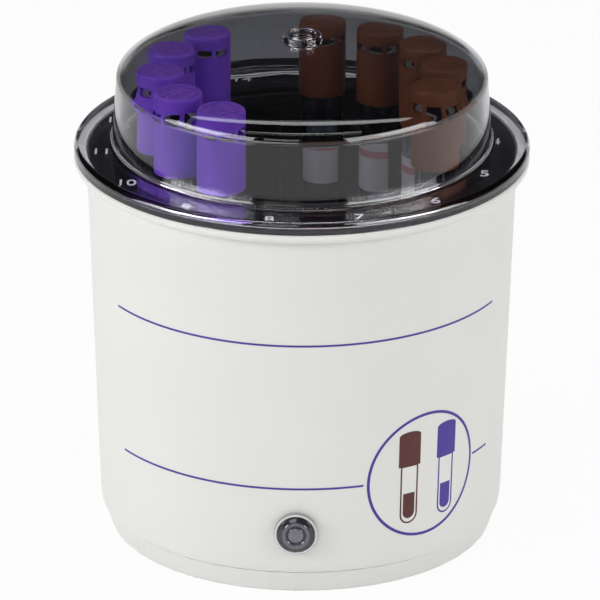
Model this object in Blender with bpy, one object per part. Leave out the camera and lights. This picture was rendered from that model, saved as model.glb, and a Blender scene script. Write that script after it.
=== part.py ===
"""Round dry-block incubator for biological indicator vials, with its clear lid and ten vials.

Metres, +Z up. The origin is on the bench, at the middle of the tub. The front, where the pilot lamp
is, faces -Y, and angles round the tub run from the front towards +X.
"""

import math

import bmesh
import bpy
from mathutils import Matrix, Vector

# Vials
TUBE_R = 0.00575
TUBE_WALL = 0.0009
TUBE_LENGTH = 0.0452
CAP_R = 0.0068
CAP_BORE_GAP = 0.0003
CAP_LENGTH = 0.0229
CAP_GRIP = 0.0134
CAP_TOP_WALL = 0.0016
CAP_WINDOWS = 8
CAP_WINDOW_LIFT = 0.0032
CAP_WINDOW_HEIGHT = 0.0027

# Wells and the cavity they stand round
WELL_COUNT = 14
WELL_1_ANGLE = 172.9
WELL_RING_R = 0.0402
WELL_GAP = 0.00035
WELL_DEPTH = 0.0248
WELL_MOUTH_SET = 0.0027
BROWN_WELLS = (1, 2, 3, 4, 5)
BLUE_WELLS = (9, 10, 11, 12, 13)
BLOCK_WALL = 0.0032
BLOCK_FLOOR = 0.0062
COLLAR_HEIGHT = 0.0033
COLLAR_TUBE_GAP = 0.00165
PLATE_THICKNESS = 0.0014
PLATE_CAP_GAP = 0.0013

# Insulation
SLEEVE_THICKNESS = 0.0045
PAD_THICKNESS = 0.010
PAD_HOLE_GAP = 0.0004

# Tub
SHELF_Z = 0.1116
SHELF_THICKNESS = 0.0024
SHELF_CLEARANCE = 0.0021
TUB_WALL = 0.0024
TUB_AIR = 0.0006
TUB_DRAFT = 0.0361
TUB_EDGE_HEIGHT = 0.0020
TUB_EDGE_SET = 0.0006
LEDGE_RISE = 0.0014
RIM_OVERHANG = 0.0036
RIM_BEAD_DROP = 0.0030
RIM_ROUND = 0.0007
RIDGE_WIDTH = 0.0021
RIDGE_HEIGHT = 0.0006
RIDGE_ROUND = 0.0004
RIDGE_PLATE_GAP = 0.0004

# Foot ring and floor
FOOT_STAND = 0.0003
FOOT_HEIGHT = 0.0067
FOOT_SET = 0.0003
FOOT_TAPER = 0.0020
FOOT_WALL = 0.0022
FOOT_ROUND = 0.0005
SPIGOT_HEIGHT = 0.0044
SPIGOT_WALL = 0.0020
FLOOR_Z = 0.0025
FLOOR_THICKNESS = 0.0025
PAD_FOOT_R = 0.0055
PAD_FOOT_SET = 0.0085
PAD_FOOT_COUNT = 4
PAD_FOOT_FIRST_ANGLE = 45.0

# Lid
LID_WALL = 0.0015
LIP_WALL = 0.0012
LIP_ROUND = 0.0016
LIP_RIDGE_GAP = 0.0003
FLANGE_THICKNESS = 0.0019
FLANGE_PLATE_GAP = 0.0019
DOME_CAP_GAP = 0.0044
DOME_SPREAD = 0.0011
DOME_SHOULDER_DROP = 0.0022
DOME_SHOULDER_SET = 0.0016
DOME_CROWN = 0.0110
DOME_FILLET = 0.0016
APEX_RING_R = 0.0055
APEX_RING_BORE_R = 0.0039
APEX_RING_ROUND = 0.00035
APEX_RING_HEIGHT = 0.0018

# Screws that hold the floor to the tub
SCREW_R = 0.0015
SCREW_HEAD_R = 0.0031
SCREW_HEAD_HEIGHT = 0.0022
SCREW_SEAT_Z = 0.0070
SCREW_REACH = 0.010
SCREW_GAP = 0.0003
BOSS_R = 0.0048
BOSS_TOP_Z = 0.0120
PILLAR_R = 0.00425
PILLAR_SET = 0.0079
PILLAR_COUNT = 3
PILLAR_FIRST_ANGLE = 30.0
PILLAR_HEIGHT = 0.0150
WEB_THICKNESS = 0.0024

# Standoffs under the block, with a threaded stud at each end
STANDOFF_R = 0.0035
STANDOFF_SET = 0.0135
STANDOFF_COUNT = 3
STANDOFF_FIRST_ANGLE = 60.0
STUD_R = 0.0015
STUD_HEIGHT = 0.0040

# Heater, thermostat and thermal fuse under the block
HEATER_THICKNESS = 0.0015
HEATER_EDGE_GAP = 0.0007
THERMO_R = 0.0080
THERMO_HEIGHT = 0.0080
THERMO_FLANGE = 0.0008
THERMO_EAR_REACH = 0.0145
THERMO_EAR_WIDTH = 0.0064
THERMO_SCREW_X = 0.0113
THERMO_BLADE_X = 0.0040
THERMO_BLADE_LENGTH = 0.0080
THERMO_BLADE_WIDTH = 0.0050
THERMO_BLADE_THICKNESS = 0.0010
SMALL_SCREW_R = 0.00125
SMALL_HEAD_R = 0.0024
SMALL_HEAD_HEIGHT = 0.0016
SMALL_SCREW_REACH = 0.0036
FUSE_R = 0.0020
FUSE_LENGTH = 0.013
CLIP_HEATER_GAP = 0.0005
CLIP_THICKNESS = 0.0007
CLIP_WIDTH = 0.0050
CLIP_FOOT = 0.0062
FUSE_SLOT_HALF_WIDTH = 0.0115

# Pilot lamp on the front
LAMP_Z = 0.0203
LAMP_TUBE_R = 0.0044
LAMP_BORE_R = 0.0037
LAMP_BODY_R = 0.0034
LAMP_BODY_LENGTH = 0.0185
LAMP_TUBE_LENGTH = 0.013
BEZEL_R = 0.0062
BEZEL_THICKNESS = 0.0017
BEZEL_RECESS_R = 0.0055
BEZEL_RECESS_DEPTH = 0.00105
LENS_EDGE = 0.0009
LENS_CROWN = 0.0011
LAMP_NUT_FLATS = 0.0120
NUT_THICKNESS = 0.0024
NUT_WALL_GAP = 0.0009

# Cord gland at the back
GLAND_Z = 0.020
GLAND_BORE_R = 0.0037
GLAND_BARREL_R = 0.0057
GLAND_FLANGE_R = 0.0078
GLAND_FLANGE_THICKNESS = 0.0024
GLAND_BARREL_LENGTH = 0.0085
GLAND_NUT_FLATS = 0.0150

# Terminal block on the floor
TERMINAL_LENGTH = 0.036
TERMINAL_DEPTH = 0.016
TERMINAL_HEIGHT = 0.012
TERMINAL_Y = 0.005
TERMINAL_PITCH = 0.008
TERMINAL_POST_X = 0.0145
TERMINAL_POST_R = 0.0030
TERMINAL_POST_TOP_Z = 0.0090
TERMINAL_PIN_HEIGHT = 0.0060
WIRE_HOLE_R = 0.0017
WIRE_HOLE_LIFT = 0.0042
WIRE_R = 0.0009

# Clearances
SEAT_GAP = 0.0003
WALL_GAP = 0.0003
CUT = 0.001

# Facets
TUB_STEPS = 44
INNER_STEPS = 28
LAMP_STEPS = 16
SMALL_STEPS = 10
VIAL_STEPS = 12
WELL_STEPS = 8
DOME_STEPS = 6
LENS_STEPS = 4

# Worked out from the sizes above, from the vials outwards
WELL_R = TUBE_R + WELL_GAP
LAND_R = WELL_RING_R - WELL_MOUTH_SET
BLOCK_R = WELL_RING_R + WELL_R + BLOCK_WALL
SLEEVE_BORE_R = BLOCK_R + WALL_GAP
SLEEVE_R = SLEEVE_BORE_R + SLEEVE_THICKNESS
COLLAR_BORE_R = WELL_RING_R + TUBE_R + COLLAR_TUBE_GAP
PLATE_BORE_R = WELL_RING_R + CAP_R + PLATE_CAP_GAP
SHELF_BORE_R = SLEEVE_R + SHELF_CLEARANCE

COLLAR_Z = SHELF_Z - COLLAR_HEIGHT
BLOCK_TOP_Z = COLLAR_Z - SEAT_GAP
WELL_FLOOR_Z = BLOCK_TOP_Z - WELL_DEPTH
BLOCK_Z = WELL_FLOOR_Z - BLOCK_FLOOR
PLATE_Z = SHELF_Z + SEAT_GAP
PLATE_TOP_Z = PLATE_Z + PLATE_THICKNESS
TUBE_Z = WELL_FLOOR_Z + SEAT_GAP
CAP_Z = TUBE_Z + TUBE_LENGTH - CAP_GRIP
CAP_TOP_Z = CAP_Z + CAP_LENGTH

TUB_Z = FOOT_STAND + FOOT_HEIGHT + SEAT_GAP
FLOOR_TOP_Z = FLOOR_Z + FLOOR_THICKNESS
PILLAR_Z = BOSS_TOP_Z + SEAT_GAP

HEATER_TOP_Z = BLOCK_Z - SEAT_GAP
HEATER_Z = HEATER_TOP_Z - HEATER_THICKNESS
STANDOFF_RING_R = BLOCK_R - STANDOFF_SET
HEATER_R = STANDOFF_RING_R - STANDOFF_R - HEATER_EDGE_GAP
FUSE_RING_R = HEATER_R + CLIP_HEATER_GAP + CLIP_FOOT + CLIP_THICKNESS + SEAT_GAP + FUSE_R
HEATER_BORE_R = THERMO_EAR_REACH + HEATER_EDGE_GAP
PAD_TOP_Z = HEATER_Z - SEAT_GAP
PAD_Z = PAD_TOP_Z - PAD_THICKNESS

LEDGE_Z = SHELF_Z + LEDGE_RISE
LIP_Z = LEDGE_Z + SEAT_GAP
FLANGE_Z = PLATE_TOP_Z + FLANGE_PLATE_GAP
FLANGE_TOP_Z = FLANGE_Z + FLANGE_THICKNESS
DOME_BORE_R = WELL_RING_R + CAP_R + DOME_CAP_GAP
DOME_R = DOME_BORE_R + LID_WALL
SHOULDER_Z = CAP_TOP_Z - DOME_SHOULDER_DROP
APEX_Z = SHOULDER_Z + DOME_CROWN
INNER_SHOULDER_Z = SHOULDER_Z - DOME_SHOULDER_SET
INNER_CROWN = DOME_CROWN - LID_WALL + DOME_SHOULDER_SET


def tub_r(z):
    """Outer radius of the tub's cone at a height."""
    return SLEEVE_R + TUB_AIR + TUB_WALL + TUB_DRAFT * z


RIM_R = tub_r(LEDGE_Z) + RIM_OVERHANG
LIP_BORE_R = RIM_R - LIP_WALL
RIDGE_R = LIP_BORE_R - LIP_RIDGE_GAP
PLATE_R = RIDGE_R - RIDGE_WIDTH - RIDGE_PLATE_GAP
FOOT_TOP_R = tub_r(TUB_Z) - TUB_EDGE_SET - FOOT_SET
FOOT_R = FOOT_TOP_R - FOOT_TAPER
PAD_FOOT_RING_R = FOOT_R - PAD_FOOT_SET
PILLAR_RING_R = SLEEVE_R + TUB_AIR - PILLAR_SET


def around(radius, angle, z=0.0):
    """A point at an angle from the front towards +X."""
    a = math.radians(angle)
    return Vector((radius * math.sin(a), -radius * math.cos(a), z))


def well_place(number, z=0.0):
    return around(WELL_RING_R, WELL_1_ANGLE - (number - 1) * 360.0 / WELL_COUNT, z)


def spaced(radius, count, first_angle):
    """Places evenly spaced round a circle."""
    return [around(radius, first_angle + k * 360.0 / count) for k in range(count)]


def arc(centre_r, centre_z, radius, start, end, steps):
    """Points of a round stretch of a profile, both ends included."""
    points = []
    for k in range(steps + 1):
        a = math.radians(start + (end - start) * k / steps)
        points.append((centre_r + radius * math.cos(a), centre_z + radius * math.sin(a)))
    return points


# Materials


def material(name, colour, roughness, metallic=0.0):
    mat = bpy.data.materials.new(name)
    mat.use_nodes = True
    shader = mat.node_tree.nodes["Principled BSDF"]
    shader.inputs["Base Color"].default_value = (*colour, 1.0)
    shader.inputs["Roughness"].default_value = roughness
    shader.inputs["Metallic"].default_value = metallic
    return mat


FINISHES = {
    "white_plastic": ((0.80, 0.80, 0.77), 0.35, 0.0),
    "black_plastic": ((0.012, 0.012, 0.014), 0.15, 0.0),
    "black_aluminium": ((0.025, 0.030, 0.030), 0.30, 0.8),
    "clear_plastic": ((0.80, 0.83, 0.84), 0.05, 0.0),
    "blue_plastic": ((0.16, 0.08, 0.52), 0.45, 0.0),
    "brown_plastic": ((0.15, 0.045, 0.015), 0.45, 0.0),
    "vial_plastic": ((0.62, 0.66, 0.74), 0.20, 0.0),
    "lamp_lens": ((0.05, 0.045, 0.06), 0.10, 0.0),
    "bezel_plastic": ((0.72, 0.73, 0.75), 0.15, 0.0),
    "grey_plastic": ((0.32, 0.33, 0.34), 0.50, 0.0),
    "cream_plastic": ((0.72, 0.68, 0.55), 0.50, 0.0),
    "rubber": ((0.02, 0.02, 0.02), 0.85, 0.0),
    "silicone": ((0.45, 0.11, 0.04), 0.70, 0.0),
    "insulation": ((0.66, 0.62, 0.50), 0.95, 0.0),
    "steel": ((0.60, 0.60, 0.62), 0.30, 1.0),
    "brass": ((0.70, 0.52, 0.22), 0.30, 1.0),
    "wire_sleeve": ((0.55, 0.57, 0.60), 0.60, 0.0),
}


# Shapes


def finish_mesh(name, bm):
    bmesh.ops.recalc_face_normals(bm, faces=bm.faces)
    mesh = bpy.data.meshes.new(name)
    bm.to_mesh(mesh)
    bm.free()
    mesh.shade_smooth()
    mesh.set_sharp_from_angle(angle=math.radians(32.0))
    return mesh


def turned(profile, steps):
    """A closed body turned about Z. A profile that starts and ends on the axis is left open there."""
    bm = bmesh.new()
    verts = [bm.verts.new((r, 0.0, z)) for r, z in profile]
    edges = [bm.edges.new(pair) for pair in zip(verts, verts[1:])]
    if profile[0][0] > 0.0:
        edges.append(bm.edges.new((verts[-1], verts[0])))
    bmesh.ops.spin(
        bm,
        geom=verts + edges,
        cent=(0.0, 0.0, 0.0),
        axis=(0.0, 0.0, 1.0),
        angle=2.0 * math.pi,
        steps=steps,
        use_merge=True,
    )
    bmesh.ops.remove_doubles(bm, verts=bm.verts, dist=1e-6)
    bm.normal_update()
    poles = [v for v in bm.verts if v.co.xy.length < 1e-7]
    flat = [v for v in poles if all(abs(f.normal.z) > 0.9999 for f in v.link_faces)]
    bmesh.ops.dissolve_verts(bm, verts=flat)
    return bm


def rod(radius, low, high, steps=SMALL_STEPS):
    return turned([(0.0, low), (radius, low), (radius, high), (0.0, high)], steps)


def washer(bore, radius, low, high, steps):
    return turned([(bore, low), (radius, low), (radius, high), (bore, high)], steps)


def prism(outline, low, high):
    """An outline in X and Y, drawn up from one height to another."""
    bm = bmesh.new()
    base = bm.faces.new([bm.verts.new((x, y, low)) for x, y in outline])
    top = bmesh.ops.extrude_face_region(bm, geom=[base])
    moved = [v for v in top["geom"] if isinstance(v, bmesh.types.BMVert)]
    bmesh.ops.translate(bm, verts=moved, vec=(0.0, 0.0, high - low))
    return bm


def box(low, high):
    corners = [(low[0], low[1]), (high[0], low[1]), (high[0], high[1]), (low[0], high[1])]
    return prism(corners, low[2], high[2])


def joined(parts):
    """One mesh of several bodies, each moved by its own matrix."""
    whole = bmesh.new()
    for bm, matrix in parts:
        bmesh.ops.transform(bm, matrix=matrix, verts=bm.verts)
        bmesh.ops.recalc_face_normals(bm, faces=bm.faces)
        piece = bpy.data.meshes.new("piece")
        bm.to_mesh(piece)
        bm.free()
        whole.from_mesh(piece)
        bpy.data.meshes.remove(piece)
    return whole


def copies(maker, places):
    return joined([(maker(), Matrix.Translation(place)) for place in places])


def repeated(name, maker, finish, places):
    """Like pieces, each a node of its own, numbered from 1."""
    for k, place in enumerate(places):
        node(f"{name}_{k + 1}", maker(), finish, place)


def node(name, bm, finish, location=(0.0, 0.0, 0.0), turn=0.0):
    """A named piece. turn is its rotation about X, in degrees."""
    obj = bpy.data.objects.new(name, finish_mesh(name, bm))
    obj.data.materials.append(material(name, *FINISHES[finish]))
    obj.location = location
    obj.rotation_euler = (math.radians(turn), 0.0, 0.0)
    bpy.context.scene.collection.objects.link(obj)
    return obj


def guide(name, bm, location=(0.0, 0.0, 0.0), turn=0.0):
    """A shape that only cuts or joins another piece."""
    obj = bpy.data.objects.new(name, finish_mesh(name, bm))
    obj.location = location
    obj.rotation_euler = (math.radians(turn), 0.0, 0.0)
    obj.display_type = "WIRE"
    obj.hide_render = True
    bpy.context.scene.collection.objects.link(obj)
    return obj


def combine(obj, other, operation):
    modifier = obj.modifiers.new(other.name, "BOOLEAN")
    modifier.operation = operation
    modifier.solver = "EXACT"
    modifier.object = other


def circle_points(radius, angles, centre_x=0.0):
    points = []
    for angle in angles:
        a = math.radians(angle)
        points.append((centre_x + radius * math.cos(a), radius * math.sin(a)))
    return points


def screw(shank_r, head_r, head_height, reach):
    """A pan-head screw, point up, with its head's underside at zero."""
    crown = head_height * 0.25
    profile = [
        (0.0, -head_height),
        (head_r - crown, -head_height),
        (head_r, -head_height + crown),
        (head_r, 0.0),
        (shank_r, 0.0),
        (shank_r, reach),
        (0.0, reach),
    ]
    return turned(profile, SMALL_STEPS)


def hexagon(flats):
    return circle_points(flats / math.sqrt(3.0), range(0, 360, 60))


# Outer shell


def make_tub():
    top = LEDGE_Z + RIDGE_HEIGHT
    bead_z = LEDGE_Z - RIM_BEAD_DROP
    edge_z = TUB_Z + TUB_EDGE_HEIGHT
    shelf_z = SHELF_Z - SHELF_THICKNESS
    profile = [(SHELF_BORE_R, SHELF_Z), (RIDGE_R - RIDGE_WIDTH, SHELF_Z), (RIDGE_R - RIDGE_WIDTH, top)]
    profile += [(RIDGE_R - RIDGE_ROUND, top), (RIDGE_R, top - RIDGE_ROUND), (RIDGE_R, LEDGE_Z)]
    profile += arc(RIM_R - RIDGE_ROUND, LEDGE_Z - RIDGE_ROUND, RIDGE_ROUND, 90.0, 0.0, 1)
    profile += arc(RIM_R - RIM_ROUND, bead_z + RIM_ROUND, RIM_ROUND, 0.0, -90.0, 2)
    profile += [(tub_r(bead_z) + RIM_ROUND, bead_z)]
    profile += [(tub_r(bead_z), bead_z - RIM_ROUND)]
    profile += [(tub_r(edge_z), edge_z)]
    profile += [(tub_r(TUB_Z) - TUB_EDGE_SET, TUB_Z), (tub_r(TUB_Z) - TUB_WALL, TUB_Z)]
    profile += [(tub_r(shelf_z) - TUB_WALL, shelf_z), (SHELF_BORE_R, shelf_z)]
    tub = node("housing_tub", turned(profile, TUB_STEPS), "white_plastic")

    posts = []
    for place in spaced(PILLAR_RING_R, PILLAR_COUNT, PILLAR_FIRST_ANGLE):
        posts.append((rod(PILLAR_R, PILLAR_Z, PILLAR_Z + PILLAR_HEIGHT), Matrix.Translation(place)))
    combine(tub, guide("tub_pillars", joined(posts)), "UNION")

    webs = []
    reach = tub_r(PILLAR_Z) - TUB_WALL * 0.5
    for k in range(PILLAR_COUNT):
        web = box(
            (-WEB_THICKNESS / 2, -reach, PILLAR_Z + CUT * 0.5),
            (WEB_THICKNESS / 2, -PILLAR_RING_R - PILLAR_R * 0.5, PILLAR_Z + PILLAR_HEIGHT - CUT),
        )
        turn = math.radians(PILLAR_FIRST_ANGLE + k * 360.0 / PILLAR_COUNT)
        webs.append((web, Matrix.Rotation(turn, 4, "Z")))
    combine(tub, guide("tub_webs", joined(webs)), "UNION")

    depth = PILLAR_Z + SCREW_REACH + CUT
    pilot_holes = copies(
        lambda: rod(SCREW_R + SCREW_GAP, PILLAR_Z - CUT, depth),
        spaced(PILLAR_RING_R, PILLAR_COUNT, PILLAR_FIRST_ANGLE),
    )
    combine(tub, guide("tub_pilot_holes", pilot_holes), "DIFFERENCE")

    wall = TUB_WALL * 2.0
    lamp_hole = rod(LAMP_TUBE_R + WALL_GAP, -wall, wall, LAMP_STEPS)
    combine(tub, guide("tub_lamp_hole", lamp_hole, (0.0, -tub_r(LAMP_Z), LAMP_Z), 90.0), "DIFFERENCE")
    gland_hole = rod(GLAND_BARREL_R + WALL_GAP, -wall, wall, LAMP_STEPS)
    combine(tub, guide("tub_gland_hole", gland_hole, (0.0, tub_r(GLAND_Z), GLAND_Z), -90.0), "DIFFERENCE")


def make_base():
    ledge_z = FOOT_STAND + FOOT_HEIGHT
    spigot_r = tub_r(TUB_Z) - TUB_WALL - SEAT_GAP
    spigot_top = ledge_z + SPIGOT_HEIGHT
    profile = [(0.0, FLOOR_Z), (FOOT_R - FOOT_WALL, FLOOR_Z), (FOOT_R - FOOT_WALL, FOOT_STAND)]
    profile += [(FOOT_R - FOOT_ROUND, FOOT_STAND), (FOOT_R, FOOT_STAND + FOOT_ROUND), (FOOT_TOP_R, ledge_z)]
    profile += [(spigot_r, ledge_z), (spigot_r, spigot_top), (spigot_r - SPIGOT_WALL, spigot_top)]
    profile += [(spigot_r - SPIGOT_WALL, FLOOR_TOP_Z), (0.0, FLOOR_TOP_Z)]
    base = node("base_cover", turned(profile, TUB_STEPS), "white_plastic")

    pillars = spaced(PILLAR_RING_R, PILLAR_COUNT, PILLAR_FIRST_ANGLE)
    standoffs = spaced(STANDOFF_RING_R, STANDOFF_COUNT, STANDOFF_FIRST_ANGLE)
    low = FLOOR_Z + FLOOR_THICKNESS * 0.4
    bosses = copies(lambda: rod(BOSS_R, low, BOSS_TOP_Z), pillars + standoffs)
    combine(base, guide("base_bosses", bosses), "UNION")
    posts = copies(lambda: rod(TERMINAL_POST_R, low, TERMINAL_POST_TOP_Z), terminal_posts())
    combine(base, guide("base_terminal_posts", posts), "UNION")
    pin = rod(SMALL_SCREW_R, low, TERMINAL_POST_TOP_Z + TERMINAL_PIN_HEIGHT)
    combine(base, guide("base_terminal_pin", pin, terminal_posts()[0]), "UNION")

    head_hole_r = SCREW_HEAD_R + SCREW_GAP
    hole_r = SCREW_R + SCREW_GAP
    stepped = [(0.0, FLOOR_Z - CUT), (head_hole_r, FLOOR_Z - CUT), (head_hole_r, SCREW_SEAT_Z)]
    stepped += [(hole_r, SCREW_SEAT_Z), (hole_r, BOSS_TOP_Z + CUT), (0.0, BOSS_TOP_Z + CUT)]
    screw_holes = copies(lambda: turned(stepped, SMALL_STEPS), pillars)
    combine(base, guide("base_screw_holes", screw_holes), "DIFFERENCE")
    stud_low = PILLAR_Z - STUD_HEIGHT - SEAT_GAP
    stud_holes = copies(lambda: rod(STUD_R + SCREW_GAP, stud_low, BOSS_TOP_Z + CUT), standoffs)
    combine(base, guide("base_stud_holes", stud_holes), "DIFFERENCE")
    pilot = rod(SMALL_SCREW_R + SCREW_GAP, FLOOR_TOP_Z + SEAT_GAP, TERMINAL_POST_TOP_Z + CUT)
    combine(base, guide("base_terminal_hole", pilot, terminal_posts()[1]), "DIFFERENCE")

    screw_z = SCREW_SEAT_Z - SEAT_GAP
    reach = PILLAR_Z + SCREW_REACH - screw_z
    repeated(
        "base_screw",
        lambda: screw(SCREW_R, SCREW_HEAD_R, SCREW_HEAD_HEIGHT, reach),
        "steel",
        [place + Vector((0.0, 0.0, screw_z)) for place in pillars],
    )

    foot_top = FLOOR_Z - SEAT_GAP
    edge = foot_top * 0.25
    foot = [(0.0, 0.0), (PAD_FOOT_R - edge, 0.0), (PAD_FOOT_R, edge), (PAD_FOOT_R, foot_top), (0.0, foot_top)]
    places = spaced(PAD_FOOT_RING_R, PAD_FOOT_COUNT, PAD_FOOT_FIRST_ANGLE)
    repeated("rubber_foot", lambda: turned(foot, SMALL_STEPS), "rubber", places)


def make_plate():
    edge = PLATE_THICKNESS * 0.4
    profile = [(PLATE_BORE_R, PLATE_Z), (PLATE_R, PLATE_Z), (PLATE_R, PLATE_TOP_Z - edge)]
    profile += [(PLATE_R - edge, PLATE_TOP_Z), (PLATE_BORE_R + edge, PLATE_TOP_Z)]
    profile += [(PLATE_BORE_R, PLATE_TOP_Z - edge)]
    node("top_plate", turned(profile, TUB_STEPS), "black_plastic")
    collar = washer(COLLAR_BORE_R, SLEEVE_R, COLLAR_Z, SHELF_Z, TUB_STEPS)
    node("block_collar", collar, "black_plastic")


# Lid


def dome(radius, shoulder_z, crown, steps):
    """The shoulder and crown: a quarter of an ellipse from the wall to the axis."""
    points = []
    for k in range(steps + 1):
        a = math.radians(90.0 * k / steps)
        points.append((radius * math.cos(a), shoulder_z + crown * math.sin(a)))
    return points


def make_lid():
    profile = [(LIP_BORE_R, LIP_Z), (RIM_R, LIP_Z)]
    profile += arc(RIM_R - LIP_ROUND, FLANGE_TOP_Z - LIP_ROUND, LIP_ROUND, 0.0, 90.0, 2)
    foot_r = DOME_R + DOME_SPREAD
    profile += arc(foot_r + DOME_FILLET, FLANGE_TOP_Z + DOME_FILLET, DOME_FILLET, 270.0, 180.0, 2)
    outer = dome(DOME_R, SHOULDER_Z, DOME_CROWN, DOME_STEPS + 1)
    profile += [p for p in outer if p[0] > APEX_RING_R * 1.3]
    ring_top = APEX_Z + APEX_RING_HEIGHT
    ring_foot = SHOULDER_Z + DOME_CROWN * math.sqrt(1.0 - (APEX_RING_R / DOME_R) ** 2)
    profile += [(APEX_RING_R, ring_foot)]
    profile += [(APEX_RING_R, ring_top - APEX_RING_ROUND)]
    profile += [(APEX_RING_R - APEX_RING_ROUND, ring_top), (APEX_RING_BORE_R, ring_top)]
    profile += [(APEX_RING_BORE_R, APEX_Z), (0.0, APEX_Z)]
    inner = dome(DOME_BORE_R, INNER_SHOULDER_Z, INNER_CROWN, DOME_STEPS)
    inner_top = (0.0, INNER_SHOULDER_Z + INNER_CROWN)
    mouth_r = foot_r - LID_WALL
    underside = [(mouth_r, FLANGE_Z + LID_WALL * 0.4), (mouth_r + LID_WALL * 0.4, FLANGE_Z)]
    underside += [(LIP_BORE_R, FLANGE_Z)]
    loop = [inner_top] + list(reversed(inner[:-1])) + underside + profile
    node("lid_dome", turned(loop, TUB_STEPS), "clear_plastic")


# Heating block


def well_outline():
    """The cavity's outline: open-sided wells joined by lands on the block's inner face."""
    half = math.acos((WELL_RING_R**2 + LAND_R**2 - WELL_R**2) / (2.0 * WELL_RING_R * LAND_R))
    mouth = around(LAND_R, math.degrees(half)) - around(WELL_RING_R, 0.0)
    sweep = math.pi - math.atan2(mouth.x, mouth.y)
    points = []
    for k in range(WELL_COUNT):
        turn = math.radians(WELL_1_ANGLE - k * 360.0 / WELL_COUNT)
        rotation = Matrix.Rotation(turn, 3, "Z")
        for step in range(WELL_STEPS + 1):
            a = sweep - 2.0 * sweep * step / WELL_STEPS
            p = Vector((WELL_R * math.sin(a), -WELL_RING_R - WELL_R * math.cos(a), 0.0))
            points.append((rotation @ p).xy[:])
        land = around(LAND_R, -180.0 / WELL_COUNT)
        points.append((rotation @ land).xy[:])
    return points


def make_block():
    edge = BLOCK_WALL * 0.25
    profile = [(0.0, BLOCK_Z), (BLOCK_R - edge, BLOCK_Z), (BLOCK_R, BLOCK_Z + edge), (BLOCK_R, BLOCK_TOP_Z)]
    profile += [(0.0, BLOCK_TOP_Z)]
    block = node("heating_block", turned(profile, TUB_STEPS), "black_aluminium")
    cavity = prism(well_outline(), WELL_FLOOR_Z, BLOCK_TOP_Z + CUT)
    combine(block, guide("block_cavity", cavity), "DIFFERENCE")

    stud_holes = copies(
        lambda: rod(STUD_R + SCREW_GAP, BLOCK_Z - CUT, HEATER_TOP_Z + STUD_HEIGHT + SEAT_GAP),
        spaced(STANDOFF_RING_R, STANDOFF_COUNT, STANDOFF_FIRST_ANGLE),
    )
    combine(block, guide("block_stud_holes", stud_holes), "DIFFERENCE")
    reach = BLOCK_Z + SMALL_SCREW_REACH + SEAT_GAP
    small_holes = copies(
        lambda: rod(SMALL_SCREW_R + SCREW_GAP, BLOCK_Z - CUT, reach),
        small_screw_places(),
    )
    combine(block, guide("block_small_holes", small_holes), "DIFFERENCE")


def small_screw_places():
    """Thermostat screws and the fuse clip's screw, in the block's underside."""
    clip_y = -FUSE_RING_R + FUSE_R + SEAT_GAP + CLIP_THICKNESS + CLIP_FOOT * 0.5
    spots = [(-THERMO_SCREW_X, 0.0), (THERMO_SCREW_X, 0.0), (0.0, clip_y)]
    return [Vector((x, y, 0.0)) for x, y in spots]


def make_standoffs():
    profile = [(0.0, PILLAR_Z - STUD_HEIGHT), (STUD_R, PILLAR_Z - STUD_HEIGHT), (STUD_R, PILLAR_Z)]
    profile += [(STANDOFF_R, PILLAR_Z), (STANDOFF_R, HEATER_TOP_Z), (STUD_R, HEATER_TOP_Z)]
    profile += [(STUD_R, HEATER_TOP_Z + STUD_HEIGHT), (0.0, HEATER_TOP_Z + STUD_HEIGHT)]
    places = spaced(STANDOFF_RING_R, STANDOFF_COUNT, STANDOFF_FIRST_ANGLE)
    repeated("block_standoff", lambda: turned(profile, SMALL_STEPS), "steel", places)


# Heat and its control


def make_heater():
    pad = washer(HEATER_BORE_R, HEATER_R, HEATER_Z, HEATER_TOP_Z, INNER_STEPS)
    node("heater_pad", pad, "silicone")


def ear_outline():
    """The thermostat's flange: a bar with round ends."""
    half = THERMO_EAR_WIDTH / 2
    right = circle_points(half, range(-90, 91, 30), THERMO_EAR_REACH - half)
    left = [(-x, -y) for x, y in right]
    return right + left


def make_thermostat():
    flange_z = HEATER_TOP_Z - THERMO_FLANGE
    can_z = flange_z - THERMO_HEIGHT
    can = node("thermostat", rod(THERMO_R, can_z, HEATER_TOP_Z - THERMO_FLANGE * 0.5, LAMP_STEPS), "steel")
    combine(can, guide("thermostat_ears", prism(ear_outline(), flange_z, HEATER_TOP_Z)), "UNION")
    blades = []
    for side in (-1, 1):
        x = side * THERMO_BLADE_X
        low = (x - THERMO_BLADE_THICKNESS / 2, -THERMO_BLADE_WIDTH / 2, can_z - THERMO_BLADE_LENGTH)
        high = (x + THERMO_BLADE_THICKNESS / 2, THERMO_BLADE_WIDTH / 2, can_z + CUT)
        blades.append((box(low, high), Matrix.Identity(4)))
    combine(can, guide("thermostat_blades", joined(blades)), "UNION")
    holes = copies(
        lambda: rod(SMALL_SCREW_R + SCREW_GAP, flange_z - CUT, HEATER_TOP_Z + CUT), small_screw_places()[:2]
    )
    combine(can, guide("thermostat_holes", holes), "DIFFERENCE")

    head_z = flange_z - SEAT_GAP
    up = Vector((0.0, 0.0, head_z))
    places = [p + up for p in small_screw_places()[:2]]
    reach = BLOCK_Z + SMALL_SCREW_REACH - head_z
    repeated(
        "thermostat_screw",
        lambda: screw(SMALL_SCREW_R, SMALL_HEAD_R, SMALL_HEAD_HEIGHT, reach),
        "steel",
        places,
    )


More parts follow.
